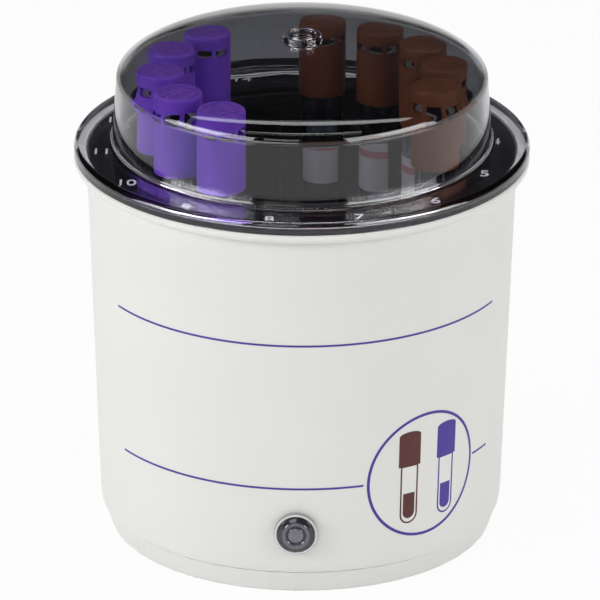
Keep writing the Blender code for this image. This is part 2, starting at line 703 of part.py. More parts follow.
def make_fuse():
    axis_z = HEATER_TOP_Z - FUSE_R
    body = rod(FUSE_R, -FUSE_LENGTH / 2, FUSE_LENGTH / 2, 12)
    bmesh.ops.rotate(body, verts=body.verts, cent=(0, 0, 0), matrix=Matrix.Rotation(math.pi / 2, 3, "Y"))
    node("thermal_fuse", body, "steel", (0.0, -FUSE_RING_R, axis_z))

    inner = FUSE_R + SEAT_GAP
    outer = inner + CLIP_THICKNESS
    foot_z = HEATER_TOP_Z - axis_z
    foot_y = outer + CLIP_FOOT
    outline = [(foot_y, foot_z), (foot_y, foot_z - CLIP_THICKNESS), (outer, foot_z - CLIP_THICKNESS)]
    outline += arc(0.0, 0.0, outer, 0.0, -180.0, 8)
    outline += [(-outer, foot_z), (-inner, foot_z)]
    outline += arc(0.0, 0.0, inner, -180.0, 0.0, 8)
    outline += [(inner, foot_z)]
    strap = prism(outline, -CLIP_WIDTH / 2, CLIP_WIDTH / 2)
    upright = Matrix(((0, 0, 1, 0), (1, 0, 0, 0), (0, 1, 0, 0), (0, 0, 0, 1)))
    bmesh.ops.transform(strap, matrix=upright, verts=strap.verts)
    clip = node("fuse_clip", strap, "steel", (0.0, -FUSE_RING_R, axis_z))
    place = small_screw_places()[2]
    hole = rod(SMALL_SCREW_R + SCREW_GAP, HEATER_TOP_Z - CLIP_THICKNESS - CUT, HEATER_TOP_Z + CUT)
    combine(clip, guide("clip_hole", hole, place), "DIFFERENCE")
    head_z = HEATER_TOP_Z - CLIP_THICKNESS - SEAT_GAP
    reach = BLOCK_Z + SMALL_SCREW_REACH - head_z
    clip_screw = screw(SMALL_SCREW_R, SMALL_HEAD_R, SMALL_HEAD_HEIGHT, reach)
    node("fuse_clip_screw", clip_screw, "steel", (place.x, place.y, head_z))


def make_insulation():
    sleeve = washer(SLEEVE_BORE_R, SLEEVE_R, PAD_Z, BLOCK_TOP_Z, TUB_STEPS)
    node("insulation_sleeve", sleeve, "insulation")
    pad = washer(HEATER_BORE_R + PAD_HOLE_GAP, BLOCK_R, PAD_Z, PAD_TOP_Z, INNER_STEPS)
    pad_node = node("insulation_pad", pad, "insulation")
    holes = copies(
        lambda: rod(STANDOFF_R + PAD_HOLE_GAP, PAD_Z - CUT, PAD_TOP_Z + CUT),
        spaced(STANDOFF_RING_R, STANDOFF_COUNT, STANDOFF_FIRST_ANGLE),
    )
    combine(pad_node, guide("pad_standoff_holes", holes), "DIFFERENCE")
    slot = box(
        (-FUSE_SLOT_HALF_WIDTH, -FUSE_RING_R - FUSE_R * 2.2, PAD_Z - CUT),
        (FUSE_SLOT_HALF_WIDTH, -HEATER_R + FUSE_R, PAD_TOP_Z + CUT),
    )
    combine(pad_node, guide("pad_fuse_slot", slot), "DIFFERENCE")


# Pilot lamp and cord gland


def lamp_seat():
    """How far the lens seat in the bezel stands out from the tub's wall."""
    return WALL_GAP + TUB_DRAFT * BEZEL_R + BEZEL_THICKNESS - BEZEL_RECESS_DEPTH


def make_lamp():
    place = (0.0, -tub_r(LAMP_Z), LAMP_Z)
    recess = lamp_seat()
    face = recess + BEZEL_RECESS_DEPTH
    flange = face - BEZEL_THICKNESS
    edge = (BEZEL_R - BEZEL_RECESS_R) * 0.6
    profile = [(LAMP_BORE_R, flange - LAMP_TUBE_LENGTH), (LAMP_TUBE_R, flange - LAMP_TUBE_LENGTH)]
    profile += [(LAMP_TUBE_R, flange), (BEZEL_R, flange), (BEZEL_R, face - edge), (BEZEL_R - edge, face)]
    profile += [(BEZEL_RECESS_R, face), (BEZEL_RECESS_R, recess), (LAMP_BORE_R, recess)]
    node("lamp_bezel", turned(profile, LAMP_STEPS), "bezel_plastic", place, 90.0)

    lens_r = BEZEL_RECESS_R - SEAT_GAP
    back = recess + SEAT_GAP
    lens = [(0.0, back), (lens_r, back)]
    for k in range(LENS_STEPS):
        a = math.radians(90.0 * k / LENS_STEPS)
        lens.append((lens_r * math.cos(a), back + LENS_EDGE + LENS_CROWN * math.sin(a)))
    lens.append((0.0, back + LENS_EDGE + LENS_CROWN))
    node("lamp_lens", turned(lens, LAMP_STEPS), "lamp_lens", place, 90.0)

    body = [(0.0, recess - LAMP_BODY_LENGTH), (LAMP_BODY_R, recess - LAMP_BODY_LENGTH)]
    body += [(LAMP_BODY_R, recess - LAMP_BODY_R * 0.4), (LAMP_BODY_R * 0.6, recess), (0.0, recess)]
    node("lamp_body", turned(body, SMALL_STEPS), "grey_plastic", place, 90.0)

    seat = -TUB_WALL - NUT_WALL_GAP
    body = prism(hexagon(LAMP_NUT_FLATS), seat - NUT_THICKNESS, seat)
    nut = node("lamp_nut", body, "steel", place, 90.0)
    hole = rod(LAMP_TUBE_R + WALL_GAP, seat - NUT_THICKNESS - CUT, seat + CUT, LAMP_STEPS)
    combine(nut, guide("lamp_nut_hole", hole, place, 90.0), "DIFFERENCE")


def make_gland():
    place = (0.0, tub_r(GLAND_Z), GLAND_Z)
    flange = WALL_GAP + TUB_DRAFT * GLAND_FLANGE_R
    face = flange + GLAND_FLANGE_THICKNESS
    taper = GLAND_FLANGE_THICKNESS * 0.4
    low = flange - GLAND_BARREL_LENGTH
    profile = [(GLAND_BORE_R, low), (GLAND_BARREL_R, low), (GLAND_BARREL_R, flange)]
    profile += [(GLAND_FLANGE_R, flange), (GLAND_FLANGE_R, face - taper), (GLAND_FLANGE_R - taper, face)]
    profile += [(GLAND_BORE_R + taper, face), (GLAND_BORE_R, face - taper)]
    node("cord_gland", turned(profile, LAMP_STEPS), "black_plastic", place, -90.0)

    seat = -TUB_WALL - NUT_WALL_GAP
    body = prism(hexagon(GLAND_NUT_FLATS), seat - NUT_THICKNESS, seat)
    nut = node("gland_nut", body, "black_plastic", place, -90.0)
    hole = rod(GLAND_BARREL_R + WALL_GAP, seat - NUT_THICKNESS - CUT, seat + CUT, LAMP_STEPS)
    combine(nut, guide("gland_nut_hole", hole, place, -90.0), "DIFFERENCE")


# Terminal block and the internal leads


def terminal_posts():
    return [Vector((side * TERMINAL_POST_X, TERMINAL_Y, 0.0)) for side in (-1, 1)]


def make_terminals():
    low = TERMINAL_POST_TOP_Z + SEAT_GAP
    top = low + TERMINAL_HEIGHT
    near = TERMINAL_Y - TERMINAL_DEPTH / 2
    far = TERMINAL_Y + TERMINAL_DEPTH / 2
    half = TERMINAL_LENGTH / 2
    block = node("terminal_block", box((-half, near, low), (half, far, top)), "cream_plastic")

    poles = [Vector((k * TERMINAL_PITCH, TERMINAL_Y, 0.0)) for k in (-1, 0, 1)]
    wire_z = low + WIRE_HOLE_LIFT
    through = []
    for pole in poles:
        lie = Matrix.Translation((pole.x, TERMINAL_Y, wire_z)) @ Matrix.Rotation(math.pi / 2, 4, "X")
        through.append((rod(WIRE_HOLE_R, -TERMINAL_DEPTH, TERMINAL_DEPTH, SMALL_STEPS), lie))
    combine(block, guide("terminal_wire_holes", joined(through)), "DIFFERENCE")

    slots = copies(lambda: rod(SMALL_HEAD_R, top - SMALL_HEAD_HEIGHT, top + CUT, SMALL_STEPS), poles)
    combine(block, guide("terminal_screw_recesses", slots), "DIFFERENCE")
    hole_r = SMALL_SCREW_R + SCREW_GAP
    post_holes = copies(lambda: rod(hole_r, low - CUT, top + CUT, SMALL_STEPS), terminal_posts())
    combine(block, guide("terminal_post_holes", post_holes), "DIFFERENCE")

    head_z = top + SEAT_GAP
    reach = head_z - FLOOR_TOP_Z - SEAT_GAP * 2
    flip = Matrix.Rotation(math.pi, 4, "X")
    post = terminal_posts()[1]
    mount = joined([(screw(SMALL_SCREW_R, SMALL_HEAD_R, SMALL_HEAD_HEIGHT, reach), flip)])
    node("terminal_mount_screw", mount, "steel", (post.x, post.y, head_z))


def lead(name, points):
    """A wire along a smooth curve through its own points."""
    route = smooth([Vector(p) for p in points], 2)
    curve = bpy.data.curves.new(name, "CURVE")
    curve.dimensions = "3D"
    curve.bevel_depth = WIRE_R
    curve.bevel_resolution = 2
    curve.use_fill_caps = True
    spline = curve.splines.new("POLY")
    spline.points.add(len(route) - 1)
    for point, place in zip(spline.points, route):
        point.co = (*place, 1.0)
    curve.materials.append(material(name, *FINISHES["wire_sleeve"]))
    obj = bpy.data.objects.new(name, curve)
    bpy.context.scene.collection.objects.link(obj)


def smooth(points, steps):
    """Points of a curve that passes through each given point."""
    ends = [points[0] * 2 - points[1]] + points + [points[-1] * 2 - points[-2]]
    route = []
    for a, b, c, d in zip(ends, ends[1:], ends[2:], ends[3:]):
        for k in range(steps):
            t = k / steps
            turn = (2 * a - 5 * b + 4 * c - d) * t**2
            sway = (3 * b - a - 3 * c + d) * t**3
            route.append(0.5 * (2 * b + (c - a) * t + turn + sway))
    route.append(points[-1])
    return route


def make_leads():
    blade_end = HEATER_TOP_Z - THERMO_FLANGE - THERMO_HEIGHT - THERMO_BLADE_LENGTH - SEAT_GAP
    hole_z = TERMINAL_POST_TOP_Z + SEAT_GAP + WIRE_HOLE_LIFT
    near = TERMINAL_Y - TERMINAL_DEPTH / 2
    far = TERMINAL_Y + TERMINAL_DEPTH / 2
    bend = WIRE_R * 5
    fuse_x = FUSE_LENGTH / 2 + SEAT_GAP
    fuse_z = HEATER_TOP_Z - FUSE_R
    slot_x = FUSE_SLOT_HALF_WIDTH - WIRE_R * 2.2
    pitch = TERMINAL_PITCH
    lead(
        "thermostat_lead",
        [
            (-pitch, near + bend, hole_z),
            (-pitch, near - bend, hole_z),
            (-pitch, near - bend * 2, hole_z + bend * 1.5),
            (-pitch, near - bend, blade_end * 0.6),
            (-THERMO_BLADE_X, 0.0, blade_end - bend),
            (-THERMO_BLADE_X, 0.0, blade_end),
        ],
    )
    lead(
        "fuse_lead",
        [
            (THERMO_BLADE_X, 0.0, blade_end),
            (THERMO_BLADE_X, -WIRE_R, blade_end - bend * 0.8),
            (THERMO_BLADE_X * 1.6, -FUSE_RING_R * 0.35, PAD_Z - bend * 1.6),
            (slot_x, -FUSE_RING_R * 0.75, PAD_Z - bend),
            (slot_x, -FUSE_RING_R * 0.98, PAD_Z + bend * 0.4),
            (slot_x, -FUSE_RING_R, fuse_z - bend * 0.4),
            (fuse_x + WIRE_R, -FUSE_RING_R, fuse_z),
            (fuse_x, -FUSE_RING_R, fuse_z),
        ],
    )
    heater_edge = -math.sqrt(HEATER_R**2 - slot_x**2) - SEAT_GAP
    lead(
        "heater_lead",
        [
            (-fuse_x, -FUSE_RING_R, fuse_z),
            (-fuse_x - WIRE_R * 0.6, -FUSE_RING_R, fuse_z),
            (-slot_x + WIRE_R * 0.4, -FUSE_RING_R + WIRE_R * 0.5, fuse_z - WIRE_R * 0.6),
            (-slot_x, -FUSE_RING_R + bend, fuse_z - WIRE_R * 0.2),
            (-slot_x, heater_edge - WIRE_R, HEATER_TOP_Z - WIRE_R),
            (-slot_x, heater_edge, HEATER_TOP_Z - WIRE_R),
        ],
    )
    lead(
        "return_lead",
        [
            (0.0, HEATER_BORE_R - SEAT_GAP, HEATER_TOP_Z - WIRE_R),
            (0.0, HEATER_BORE_R - SEAT_GAP - WIRE_R, HEATER_TOP_Z - WIRE_R),
            (0.0, HEATER_BORE_R - WIRE_R * 4, HEATER_TOP_Z - WIRE_R * 3.5),
            (0.0, HEATER_BORE_R - WIRE_R * 4, PAD_Z),
            (pitch * 0.5, HEATER_BORE_R, PAD_Z * 0.6),
            (pitch, far + bend * 2, hole_z + bend * 2),
            (pitch, far + bend, hole_z),
            (pitch, far - bend * 0.8, hole_z),
        ],
    )
    lamp_end = -tub_r(LAMP_Z) - lamp_seat() + LAMP_BODY_LENGTH + SEAT_GAP
    for side, pole in ((-1, 0.0), (1, pitch)):
        x = side * LAMP_BODY_R * 0.5
        lead(
            "lamp_lead_left" if side < 0 else "lamp_lead_right",
            [
                (x, lamp_end, LAMP_Z),
                (x, lamp_end + bend, LAMP_Z),
                ((x + pole) / 2, lamp_end * 0.6, LAMP_Z * 0.9),
                (pole, near - bend * 1.5, hole_z),
                (pole, near + bend * 0.8, hole_z),
            ],
        )


# Vials


def tube():
    inner_r = TUBE_R - TUBE_WALL
    profile = [(0.0, 0.0)] + arc(0.0, TUBE_R, TUBE_R, -60.0, 0.0, 2)
    profile += [(TUBE_R, TUBE_LENGTH), (inner_r, TUBE_LENGTH)]
    profile += [(inner_r, TUBE_R), (inner_r * 0.7, TUBE_R - inner_r * 0.7), (0.0, TUBE_R - inner_r)]
    return turned(profile, VIAL_STEPS)


def cap():
    """A cap with a ring of vent windows. Each window spans two of three columns."""
    columns = 3 * CAP_WINDOWS
    bore_r = TUBE_R + CAP_BORE_GAP
    window_z = CAP_GRIP + CAP_WINDOW_LIFT
    heights = [0.0, window_z, window_z + CAP_WINDOW_HEIGHT]
    outer_rings = [(CAP_R, z) for z in heights] + [(CAP_R, CAP_LENGTH)]
    inner_rings = [(bore_r, z) for z in heights] + [(bore_r, CAP_LENGTH - CAP_TOP_WALL)]
    bm = bmesh.new()

    def ring(radius, z):
        angles = [360.0 * k / columns for k in range(columns)]
        return [bm.verts.new((x, y, z)) for x, y in circle_points(radius, angles)]

    outer = [ring(*size) for size in outer_rings]
    inner = [ring(*size) for size in inner_rings]
    bm.faces.new(outer[-1])
    bm.faces.new(inner[-1])

    def strip(low, high, open_too):
        for k in range(columns):
            if open_too or k % 3 == 0:
                n = (k + 1) % columns
                bm.faces.new((low[k], low[n], high[n], high[k]))

    for rings in (outer, inner):
        for level in range(len(rings) - 1):
            strip(rings[level], rings[level + 1], level != 1)
    strip(outer[0], inner[0], True)
    for k in range(columns):
        n = (k + 1) % columns
        if k % 3:
            for level in (1, 2):
                bm.faces.new((outer[level][k], outer[level][n], inner[level][n], inner[level][k]))
        else:
            for side in (k, n):
                bm.faces.new((outer[1][side], outer[2][side], inner[2][side], inner[1][side]))
    return bm


def make_vials():
    filled = [(number, "brown_plastic") for number in BROWN_WELLS]
    filled += [(number, "blue_plastic") for number in BLUE_WELLS]
    for number, finish in filled:
        node(f"vial_tube_{number:02d}", tube(), "vial_plastic", well_place(number, TUBE_Z))
        node(f"vial_cap_{number:02d}", cap(), finish, well_place(number, CAP_Z))


def main():
    for obj in list(bpy.data.objects):
        bpy.data.objects.remove(obj, do_unlink=True)
    make_tub()
    make_base()
    make_plate()
    make_lid()
    make_block()
    make_standoffs()
    make_heater()
    make_thermostat()
    make_fuse()
    make_insulation()
    make_lamp()
    make_gland()
    make_terminals()
    make_leads()
    make_vials()


main()
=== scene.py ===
"""Looks of a round dry-block incubator for indicator vials.

Metres, +Z up, on the bench at the middle of the tub. Angles run from the front (-Y) towards +X.
"""

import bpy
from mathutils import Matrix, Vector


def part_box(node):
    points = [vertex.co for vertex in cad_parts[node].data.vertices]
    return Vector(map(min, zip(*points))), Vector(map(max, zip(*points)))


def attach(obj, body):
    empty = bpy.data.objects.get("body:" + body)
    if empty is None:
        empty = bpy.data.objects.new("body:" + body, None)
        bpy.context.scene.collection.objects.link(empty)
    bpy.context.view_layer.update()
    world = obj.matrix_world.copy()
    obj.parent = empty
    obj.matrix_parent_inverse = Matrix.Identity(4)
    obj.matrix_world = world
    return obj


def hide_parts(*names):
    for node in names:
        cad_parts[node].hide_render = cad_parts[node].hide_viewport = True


bl_info = {
    "name": "Indicator vial incubator",
    "version": (1, 0, 0),
    "blender": (4, 5, 0),
    "location": "3D View > Sidebar > Incubator",
    "description": "Builds the tub, lid, block, vials and lamp of a round incubator",
    "category": "Object",
}

from math import acos, atan2, ceil, cos, pi, radians, sin, sqrt

import bmesh
import bpy
from bpy.props import FloatProperty, FloatVectorProperty, IntProperty, PointerProperty
from bpy.types import NodeSocket, Operator, Panel, PropertyGroup
from mathutils import Matrix, Vector

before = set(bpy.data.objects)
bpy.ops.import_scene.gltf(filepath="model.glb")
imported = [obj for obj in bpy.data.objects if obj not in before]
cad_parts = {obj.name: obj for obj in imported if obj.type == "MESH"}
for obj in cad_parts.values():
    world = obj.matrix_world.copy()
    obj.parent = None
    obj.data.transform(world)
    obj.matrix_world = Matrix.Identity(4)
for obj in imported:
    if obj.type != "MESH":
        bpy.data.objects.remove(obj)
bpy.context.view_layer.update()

TUB = "tub"
LID = "lid"
BROWN_WELLS = (1, 2, 3, 4, 5)
BLUE_WELLS = (9, 10, 11, 12, 13)
ROUND_STEPS = 192
FINE_STEPS = 64
SMALL_STEPS = 32
# Thickness of a print
FILM = 0.00004
# How far from its end a long flat stretch of a profile is pinned
HOLD = 0.0001
FRONT, BACK = -1.0, 1.0
LAMP_HEIGHT = 0.0203
GLAND_HEIGHT = 0.020
WHITE = (1.0, 1.0, 1.0, 1.0)
# The lens from its edge inwards: shares of its radius, and heights above its seat in millimetres
LENS_RINGS = (
    (0.78, 1.25), (0.74, 1.50), (0.69, 1.64), (0.64, 1.66), (0.59, 1.56), (0.55, 1.36),
    (0.51, 1.12), (0.47, 1.08), (0.44, 1.28), (0.39, 1.50), (0.32, 1.66), (0.27, 1.72),
    (0.24, 1.66), (0.21, 1.58), (0.18, 1.60), (0.13, 1.72), (0.07, 1.78), (0.0, 1.80),
)


def low(node):
    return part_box(node)[0]


def high(node):
    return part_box(node)[1]


def metres(label, default, about):
    return FloatProperty(name=label, description=about, default=default, unit="LENGTH", precision=5)


def watts(label, default, about):
    return FloatProperty(name=label, description=about, default=default, unit="POWER")


def degrees(label, default, about):
    return FloatProperty(name=label, description=about, default=radians(default), subtype="ANGLE")


def share(label, default, about):
    return FloatProperty(name=label, description=about, default=default)


def count(label, default, about):
    return IntProperty(name=label, description=about, default=default, min=3)


def tone(label, default, about):
    return FloatVectorProperty(
        name=label, description=about, default=default, size=3, subtype="COLOR", min=0.0, max=1.0
    )


# Settings


class IncubatorTubSettings(PropertyGroup):
    rim_radius: metres("Rim radius", high("housing_tub").x, "Outside of the rim bead")
    ridge_width: metres("Ridge width", 0.0021, "Ridge inside the rim that keeps the lid centred")
    bead_drop: metres("Bead drop", 0.0030, "Height of the rim bead below the ledge")
    cone_radius: metres("Cone radius", 0.0573, "Radius of the tub's cone carried down to the bench")
    cone_draft: share("Draft", 0.0361, "Growth of the radius with height")
    wall: metres("Wall", 0.0024, "Thickness of the tub's wall")
    edge_set: metres("Edge set", 0.0006, "How far the tub draws in at its lower edge")
    shelf: metres("Shelf", high("block_collar").z, "Height of the shelf that the plate lies on")
    colour: tone("Plastic", (0.83, 0.825, 0.795), "Moulded plastic of the tub")


class IncubatorPrintSettings(PropertyGroup):
    colour: tone("Stripe", (0.055, 0.026, 0.30), "Printed stripes and ring")
    dark: tone("Dark tube", (0.085, 0.012, 0.010), "The dark vial in the ring")
    stripe: metres("Stripe width", 0.00062, "Width of the printed stripes")
    upper: metres("Upper stripe", 0.0780, "Height of the upper stripe")
    lower: metres("Lower stripe", 0.0336, "Height of the lower stripe")
    ring_angle: degrees("Ring angle", 38.5, "Where the printed ring sits round the tub")
    ring_radius: metres("Ring radius", 0.0190, "Radius of the printed ring")
    ring_stroke: metres("Ring stroke", 0.00085, "Width of the printed ring's line")


class IncubatorPlateSettings(PropertyGroup):
    bore: metres("Plate bore", 0.0483, "Radius of the plate's opening")
    collar_bore: metres("Collar bore", 0.0476, "Radius of the ring under the plate")
    numeral_radius: metres("Numeral ring", 0.0564, "How far out the numerals stand")
    numeral_shift: metres("Numeral shift", -0.0009, "How far the printed circle sits to one side")
    numeral_size: metres("Numeral size", 0.0061, "Size of the numerals' type")
    numeral: tone("Numerals", (0.70, 0.70, 0.72), "Printed numerals")
    colour: tone("Plate", (0.004, 0.004, 0.005), "Glossy black plate")


class IncubatorBlockSettings(PropertyGroup):
    wells: count("Wells", 14, "Wells round the cavity")
    first_angle: degrees("First well", 172.9, "Where well 1 is")
    well_ring: metres("Well ring", 0.0402, "Radius of the circle of wells")
    well_radius: metres("Well radius", 0.0061, "Radius of a well")
    land_radius: metres("Land radius", 0.0375, "Radius of the lands between the wells")
    floor: metres("Well floor", 0.0832, "Height of the wells' floor")
    colour: tone("Anodising", (0.020, 0.023, 0.024), "Black anodised aluminium")


class IncubatorLidSettings(PropertyGroup):
    dome_bore: metres("Dome bore", 0.0514, "Inside radius of the wall at its shoulder")
    wall: metres("Wall", 0.0015, "Thickness of the clear wall")
    spread: metres("Spread", 0.0011, "Growth of the wall's radius down to the flange")
    lip: metres("Lip", 0.0012, "Thickness of the lip")
    lip_round: metres("Lip round", 0.0016, "Rounding between flange and lip")
    flange_low: metres("Flange underside", 0.1152, "Height of the flange's underside")
    flange_top: metres("Flange top", 0.1171, "Height of the flange's top")
    shoulder: metres("Shoulder", 0.1360, "Height where the crown starts")
    shoulder_set: metres("Shoulder set", 0.0016, "Drop of the inner shoulder below the outer one")
    crown: metres("Crown", 0.0110, "Rise of the crown above the shoulder")
    fillet: metres("Fillet", 0.0016, "Fillet between flange and dome")
    ring_radius: metres("Ring boss", 0.0055, "Outside of the small ring at the top")
    ring_bore: metres("Ring bore", 0.0039, "Inside of the small ring at the top")
    # The tint is partly the plastic's smoke and partly painted shade, darkening the dome for the dark
    # surroundings seen through it.
    tint: tone("Tint", (0.31, 0.315, 0.335), "Smoke tint of the clear plastic")


class IncubatorVialSettings(PropertyGroup):
    blue: tone("Blue caps", (0.29, 0.092, 0.93), "Blue-violet caps")
    brown: tone("Brown caps", (0.190, 0.052, 0.014), "Brown caps")
    grip: metres("Grip", 0.0134, "Height of the cap's skirt over the tube")
    vents: count("Vents", 8, "Windows round a cap")
    vent_low: metres("Vent underside", 0.0166, "Height of the vents above the cap's lower edge")
    vent_height: metres("Vent height", 0.0024, "Height of the vents")
    label_low: metres("Label foot", 0.0898, "Height of the label's lower edge")
    label_top: metres("Label top", 0.1048, "Height of the label's upper edge")
    band: tone("Label band", (0.62, 0.20, 0.26), "The label's pink band")


class IncubatorLampSettings(PropertyGroup):
    lens: tone("Lens", (0.022, 0.020, 0.026), "Smoked lens")
    bezel: tone("Bezel", (0.70, 0.71, 0.72), "Pale bezel")


class IncubatorStageSettings(PropertyGroup):
    floor: tone("Floor", (0.86, 0.86, 0.86), "Pale floor")
    left: watts("Left light", 10.5, "Power of the left softbox")
    right: watts("Right light", 7.4, "Power of the right softbox")
    front: watts("Front light", 3.0, "Power of the front softbox")
    strips: watts("Strips", 3.8, "Power of each thin light overhead")
    cards: watts("Cards", 55.0, "Power of each large card that the lid alone mirrors")
    fill: share("Fill", 0.5, "Share of the side softboxes' light that falls on dull surfaces")
    sky: share("Sky", 0.35, "Strength of the soft light from all round")


def settings(part):
    return getattr(bpy.context.scene, "incubator_" + part)


# Shapes


def around(radius, angle, z=0.0):
    """A point at an angle in radians from the front towards +X."""
    return Vector((radius * sin(angle), -radius * cos(angle), z))


def well_angle(number):
    block = settings("block")
    return block.first_angle - (number - 1) * 2.0 * pi / block.wells


def well_place(number, z=0.0):
    return around(settings("block").well_ring, well_angle(number), z)


def tub_radius(z):
    tub = settings("tub")
    return tub.cone_radius + tub.cone_draft * z


def on_wall(side, z):
    """Turns and moves a piece made along Z so that it points out of the tub's front or back."""
    turn = Matrix.Rotation(-side * pi / 2, 4, "X")
    return Matrix.Translation((0.0, side * tub_radius(z), z)) @ turn


def bow(centre_r, centre_z, radius, start, end, steps, rise=None):
    """Points of a round stretch, both ends included. With a rise it is an ellipse's."""
    points = []
    for k in range(steps + 1):
        a = radians(start + (end - start) * k / steps)
        points.append((centre_r + radius * cos(a), centre_z + (rise or radius) * sin(a)))
    return points


def held(profile):
    """The profile with points added where a long stretch meets a short one, which keeps it flat."""
    points = []
    places = [Vector(p) for p in profile]
    last = len(places) - 1
    for k, here in enumerate(places):
        before, after, beyond = (places[(k + step) % len(places)] for step in (-1, 1, 2))
        way = after - here
        points.append(profile[k])
        if way.length < 8.0 * HOLD or (k == last and profile[0][0] == 0.0):
            continue
        if (here - before).length * 3.0 < way.length:
            points.append(tuple(here + way.normalized() * HOLD))
        if (beyond - after).length * 3.0 < way.length:
            points.append(tuple(after - way.normalized() * HOLD))
    return points


def lathe(profile, steps):
    """A closed body turned about Z. A profile that starts and ends on the axis is left open there."""
    profile = held(profile)
    bm = bmesh.new()
    verts = [bm.verts.new((r, 0.0, z)) for r, z in profile]
    edges = [bm.edges.new(pair) for pair in zip(verts, verts[1:])]
    if profile[0][0] > 0.0:
        edges.append(bm.edges.new((verts[-1], verts[0])))
    bmesh.ops.spin(
        bm,
        geom=verts + edges,
        cent=(0.0, 0.0, 0.0),
        axis=(0.0, 0.0, 1.0),
        angle=2.0 * pi,
        steps=steps,
        use_merge=True,
    )
    bmesh.ops.remove_doubles(bm, verts=bm.verts, dist=1e-6)
    bmesh.ops.recalc_face_normals(bm, faces=bm.faces)
    return bm


def prism(outline, low_z, high_z):
    bm = bmesh.new()
    base = bm.faces.new([bm.verts.new((x, y, low_z)) for x, y in outline])
    grown = bmesh.ops.extrude_face_region(bm, geom=[base])
    moved = [v for v in grown["geom"] if isinstance(v, bmesh.types.BMVert)]
    bmesh.ops.translate(bm, verts=moved, vec=(0.0, 0.0, high_z - low_z))
    bmesh.ops.recalc_face_normals(bm, faces=bm.faces)
    return bm


def smoothed(mesh, sharp=35.0):
    mesh.shade_smooth()
    mesh.set_sharp_from_angle(angle=radians(sharp))
    return mesh


def mesh_of(bm, matrix=None, sharp=35.0):
    if matrix is not None:
        bmesh.ops.transform(bm, matrix=matrix, verts=bm.verts)
    mesh = bpy.data.meshes.new("shape")
    bm.to_mesh(mesh)
    bm.free()
    return smoothed(mesh, sharp)


def turned(profile, steps=ROUND_STEPS, matrix=None, sharp=35.0):
    return mesh_of(lathe(profile, steps), matrix, sharp)


def shown(name, data):
    obj = bpy.data.objects.new(name, data)
    bpy.context.scene.collection.objects.link(obj)
    return obj


def settled(obj):
    """A plain mesh of an object with its modifiers. The object is removed."""
    bpy.context.view_layer.update()
    depsgraph = bpy.context.evaluated_depsgraph_get()
    mesh = bpy.data.meshes.new_from_object(obj.evaluated_get(depsgraph), depsgraph=depsgraph)
    bpy.data.objects.remove(obj)
    return mesh


def cut(body, *cutters):
    """body less the cutters, as a plain mesh."""
    obj = shown("cut_body", body)
    tools = []
    for k, cutter in enumerate(cutters):
        tool = shown(f"cutter_{k}", cutter)
        modifier = obj.modifiers.new(tool.name, "BOOLEAN")
        modifier.operation = "DIFFERENCE"
        modifier.solver = "EXACT"
        modifier.object = tool
        tools.append(tool)
    mesh = settled(obj)
    for tool in tools:
        bpy.data.objects.remove(tool)
    return mesh


def piece(name, mesh, finish, body, replaces=()):
    """A finished piece of the incubator, riding on its body."""
    obj = shown(name, mesh)
    mesh.name = name
    mesh.materials.clear()
    mesh.materials.append(finish)
    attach(obj, body)
    if replaces:
        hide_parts(*replaces)
    return obj


# Node trees


def add(tree, kind, inputs=None, **fields):
    """A new node with its fields set, and each input given a value or linked to a socket."""
    made = tree.nodes.new(kind)
    for name, value in fields.items():
        setattr(made, name, value)
    for name, value in (inputs or {}).items():
        if isinstance(value, NodeSocket):
            tree.links.new(value, made.inputs[name])
        else:
            made.inputs[name].default_value = value
    return made


def geometry_tree(name, result, **inputs):
    """A tree with its named inputs and one output. Returns it and the sockets of its inputs."""
    tree = bpy.data.node_groups.new(name, "GeometryNodeTree")
    for label, kind in inputs.items():
        tree.interface.new_socket(label, in_out="INPUT", socket_type="NodeSocket" + kind)
    tree.interface.new_socket(result, in_out="OUTPUT", socket_type="NodeSocketGeometry")
    return tree, tree.nodes.new("NodeGroupInput").outputs


def with_tree(obj, tree, **values):
    """Gives an object the tree as a modifier, with values for its named inputs."""
    modifier = obj.modifiers.new(tree.name, "NODES")
    modifier.node_group = tree
    for item in tree.interface.items_tree:
        if item.item_type == "SOCKET" and item.in_out == "INPUT" and item.name in values:
            modifier[item.identifier] = values[item.name]


def repeat_tree(name):
    """Instances of one mesh on the points of another, made real and given a finish."""
    tree, given = geometry_tree(
        name, "Pieces", Places="Geometry", Shape="Object", Size="Float", Finish="Material"
    )
    source = add(tree, "GeometryNodeObjectInfo", {"Object": given["Shape"]})
    inputs = {"Points": given["Places"], "Instance": source.outputs["Geometry"], "Scale": given["Size"]}
    spread = add(tree, "GeometryNodeInstanceOnPoints", inputs)
    real = add(tree, "GeometryNodeRealizeInstances", {"Geometry": spread.outputs["Instances"]})
    inputs = {"Geometry": real.outputs["Geometry"], "Material": given["Finish"]}
    dress = add(tree, "GeometryNodeSetMaterial", inputs)
    add(tree, "NodeGroupOutput", {"Pieces": dress.outputs["Geometry"]})
    return tree


def repeated(name, shape, places, finish):
    """One piece on the tub with the shape at every place."""
    points = bpy.data.meshes.new(name + "_places")
    points.from_pydata([tuple(p) for p in places], [], [])
    carrier = shown(name + "_places", points)
    source = shown(name + "_shape", shape)
    tree = bpy.data.node_groups.get("repeat_at_places") or repeat_tree("repeat_at_places")
    with_tree(carrier, tree, Shape=source, Size=1.0, Finish=finish)
    mesh = settled(carrier)
    bpy.data.objects.remove(source)
    return piece(name, mesh, finish, TUB)


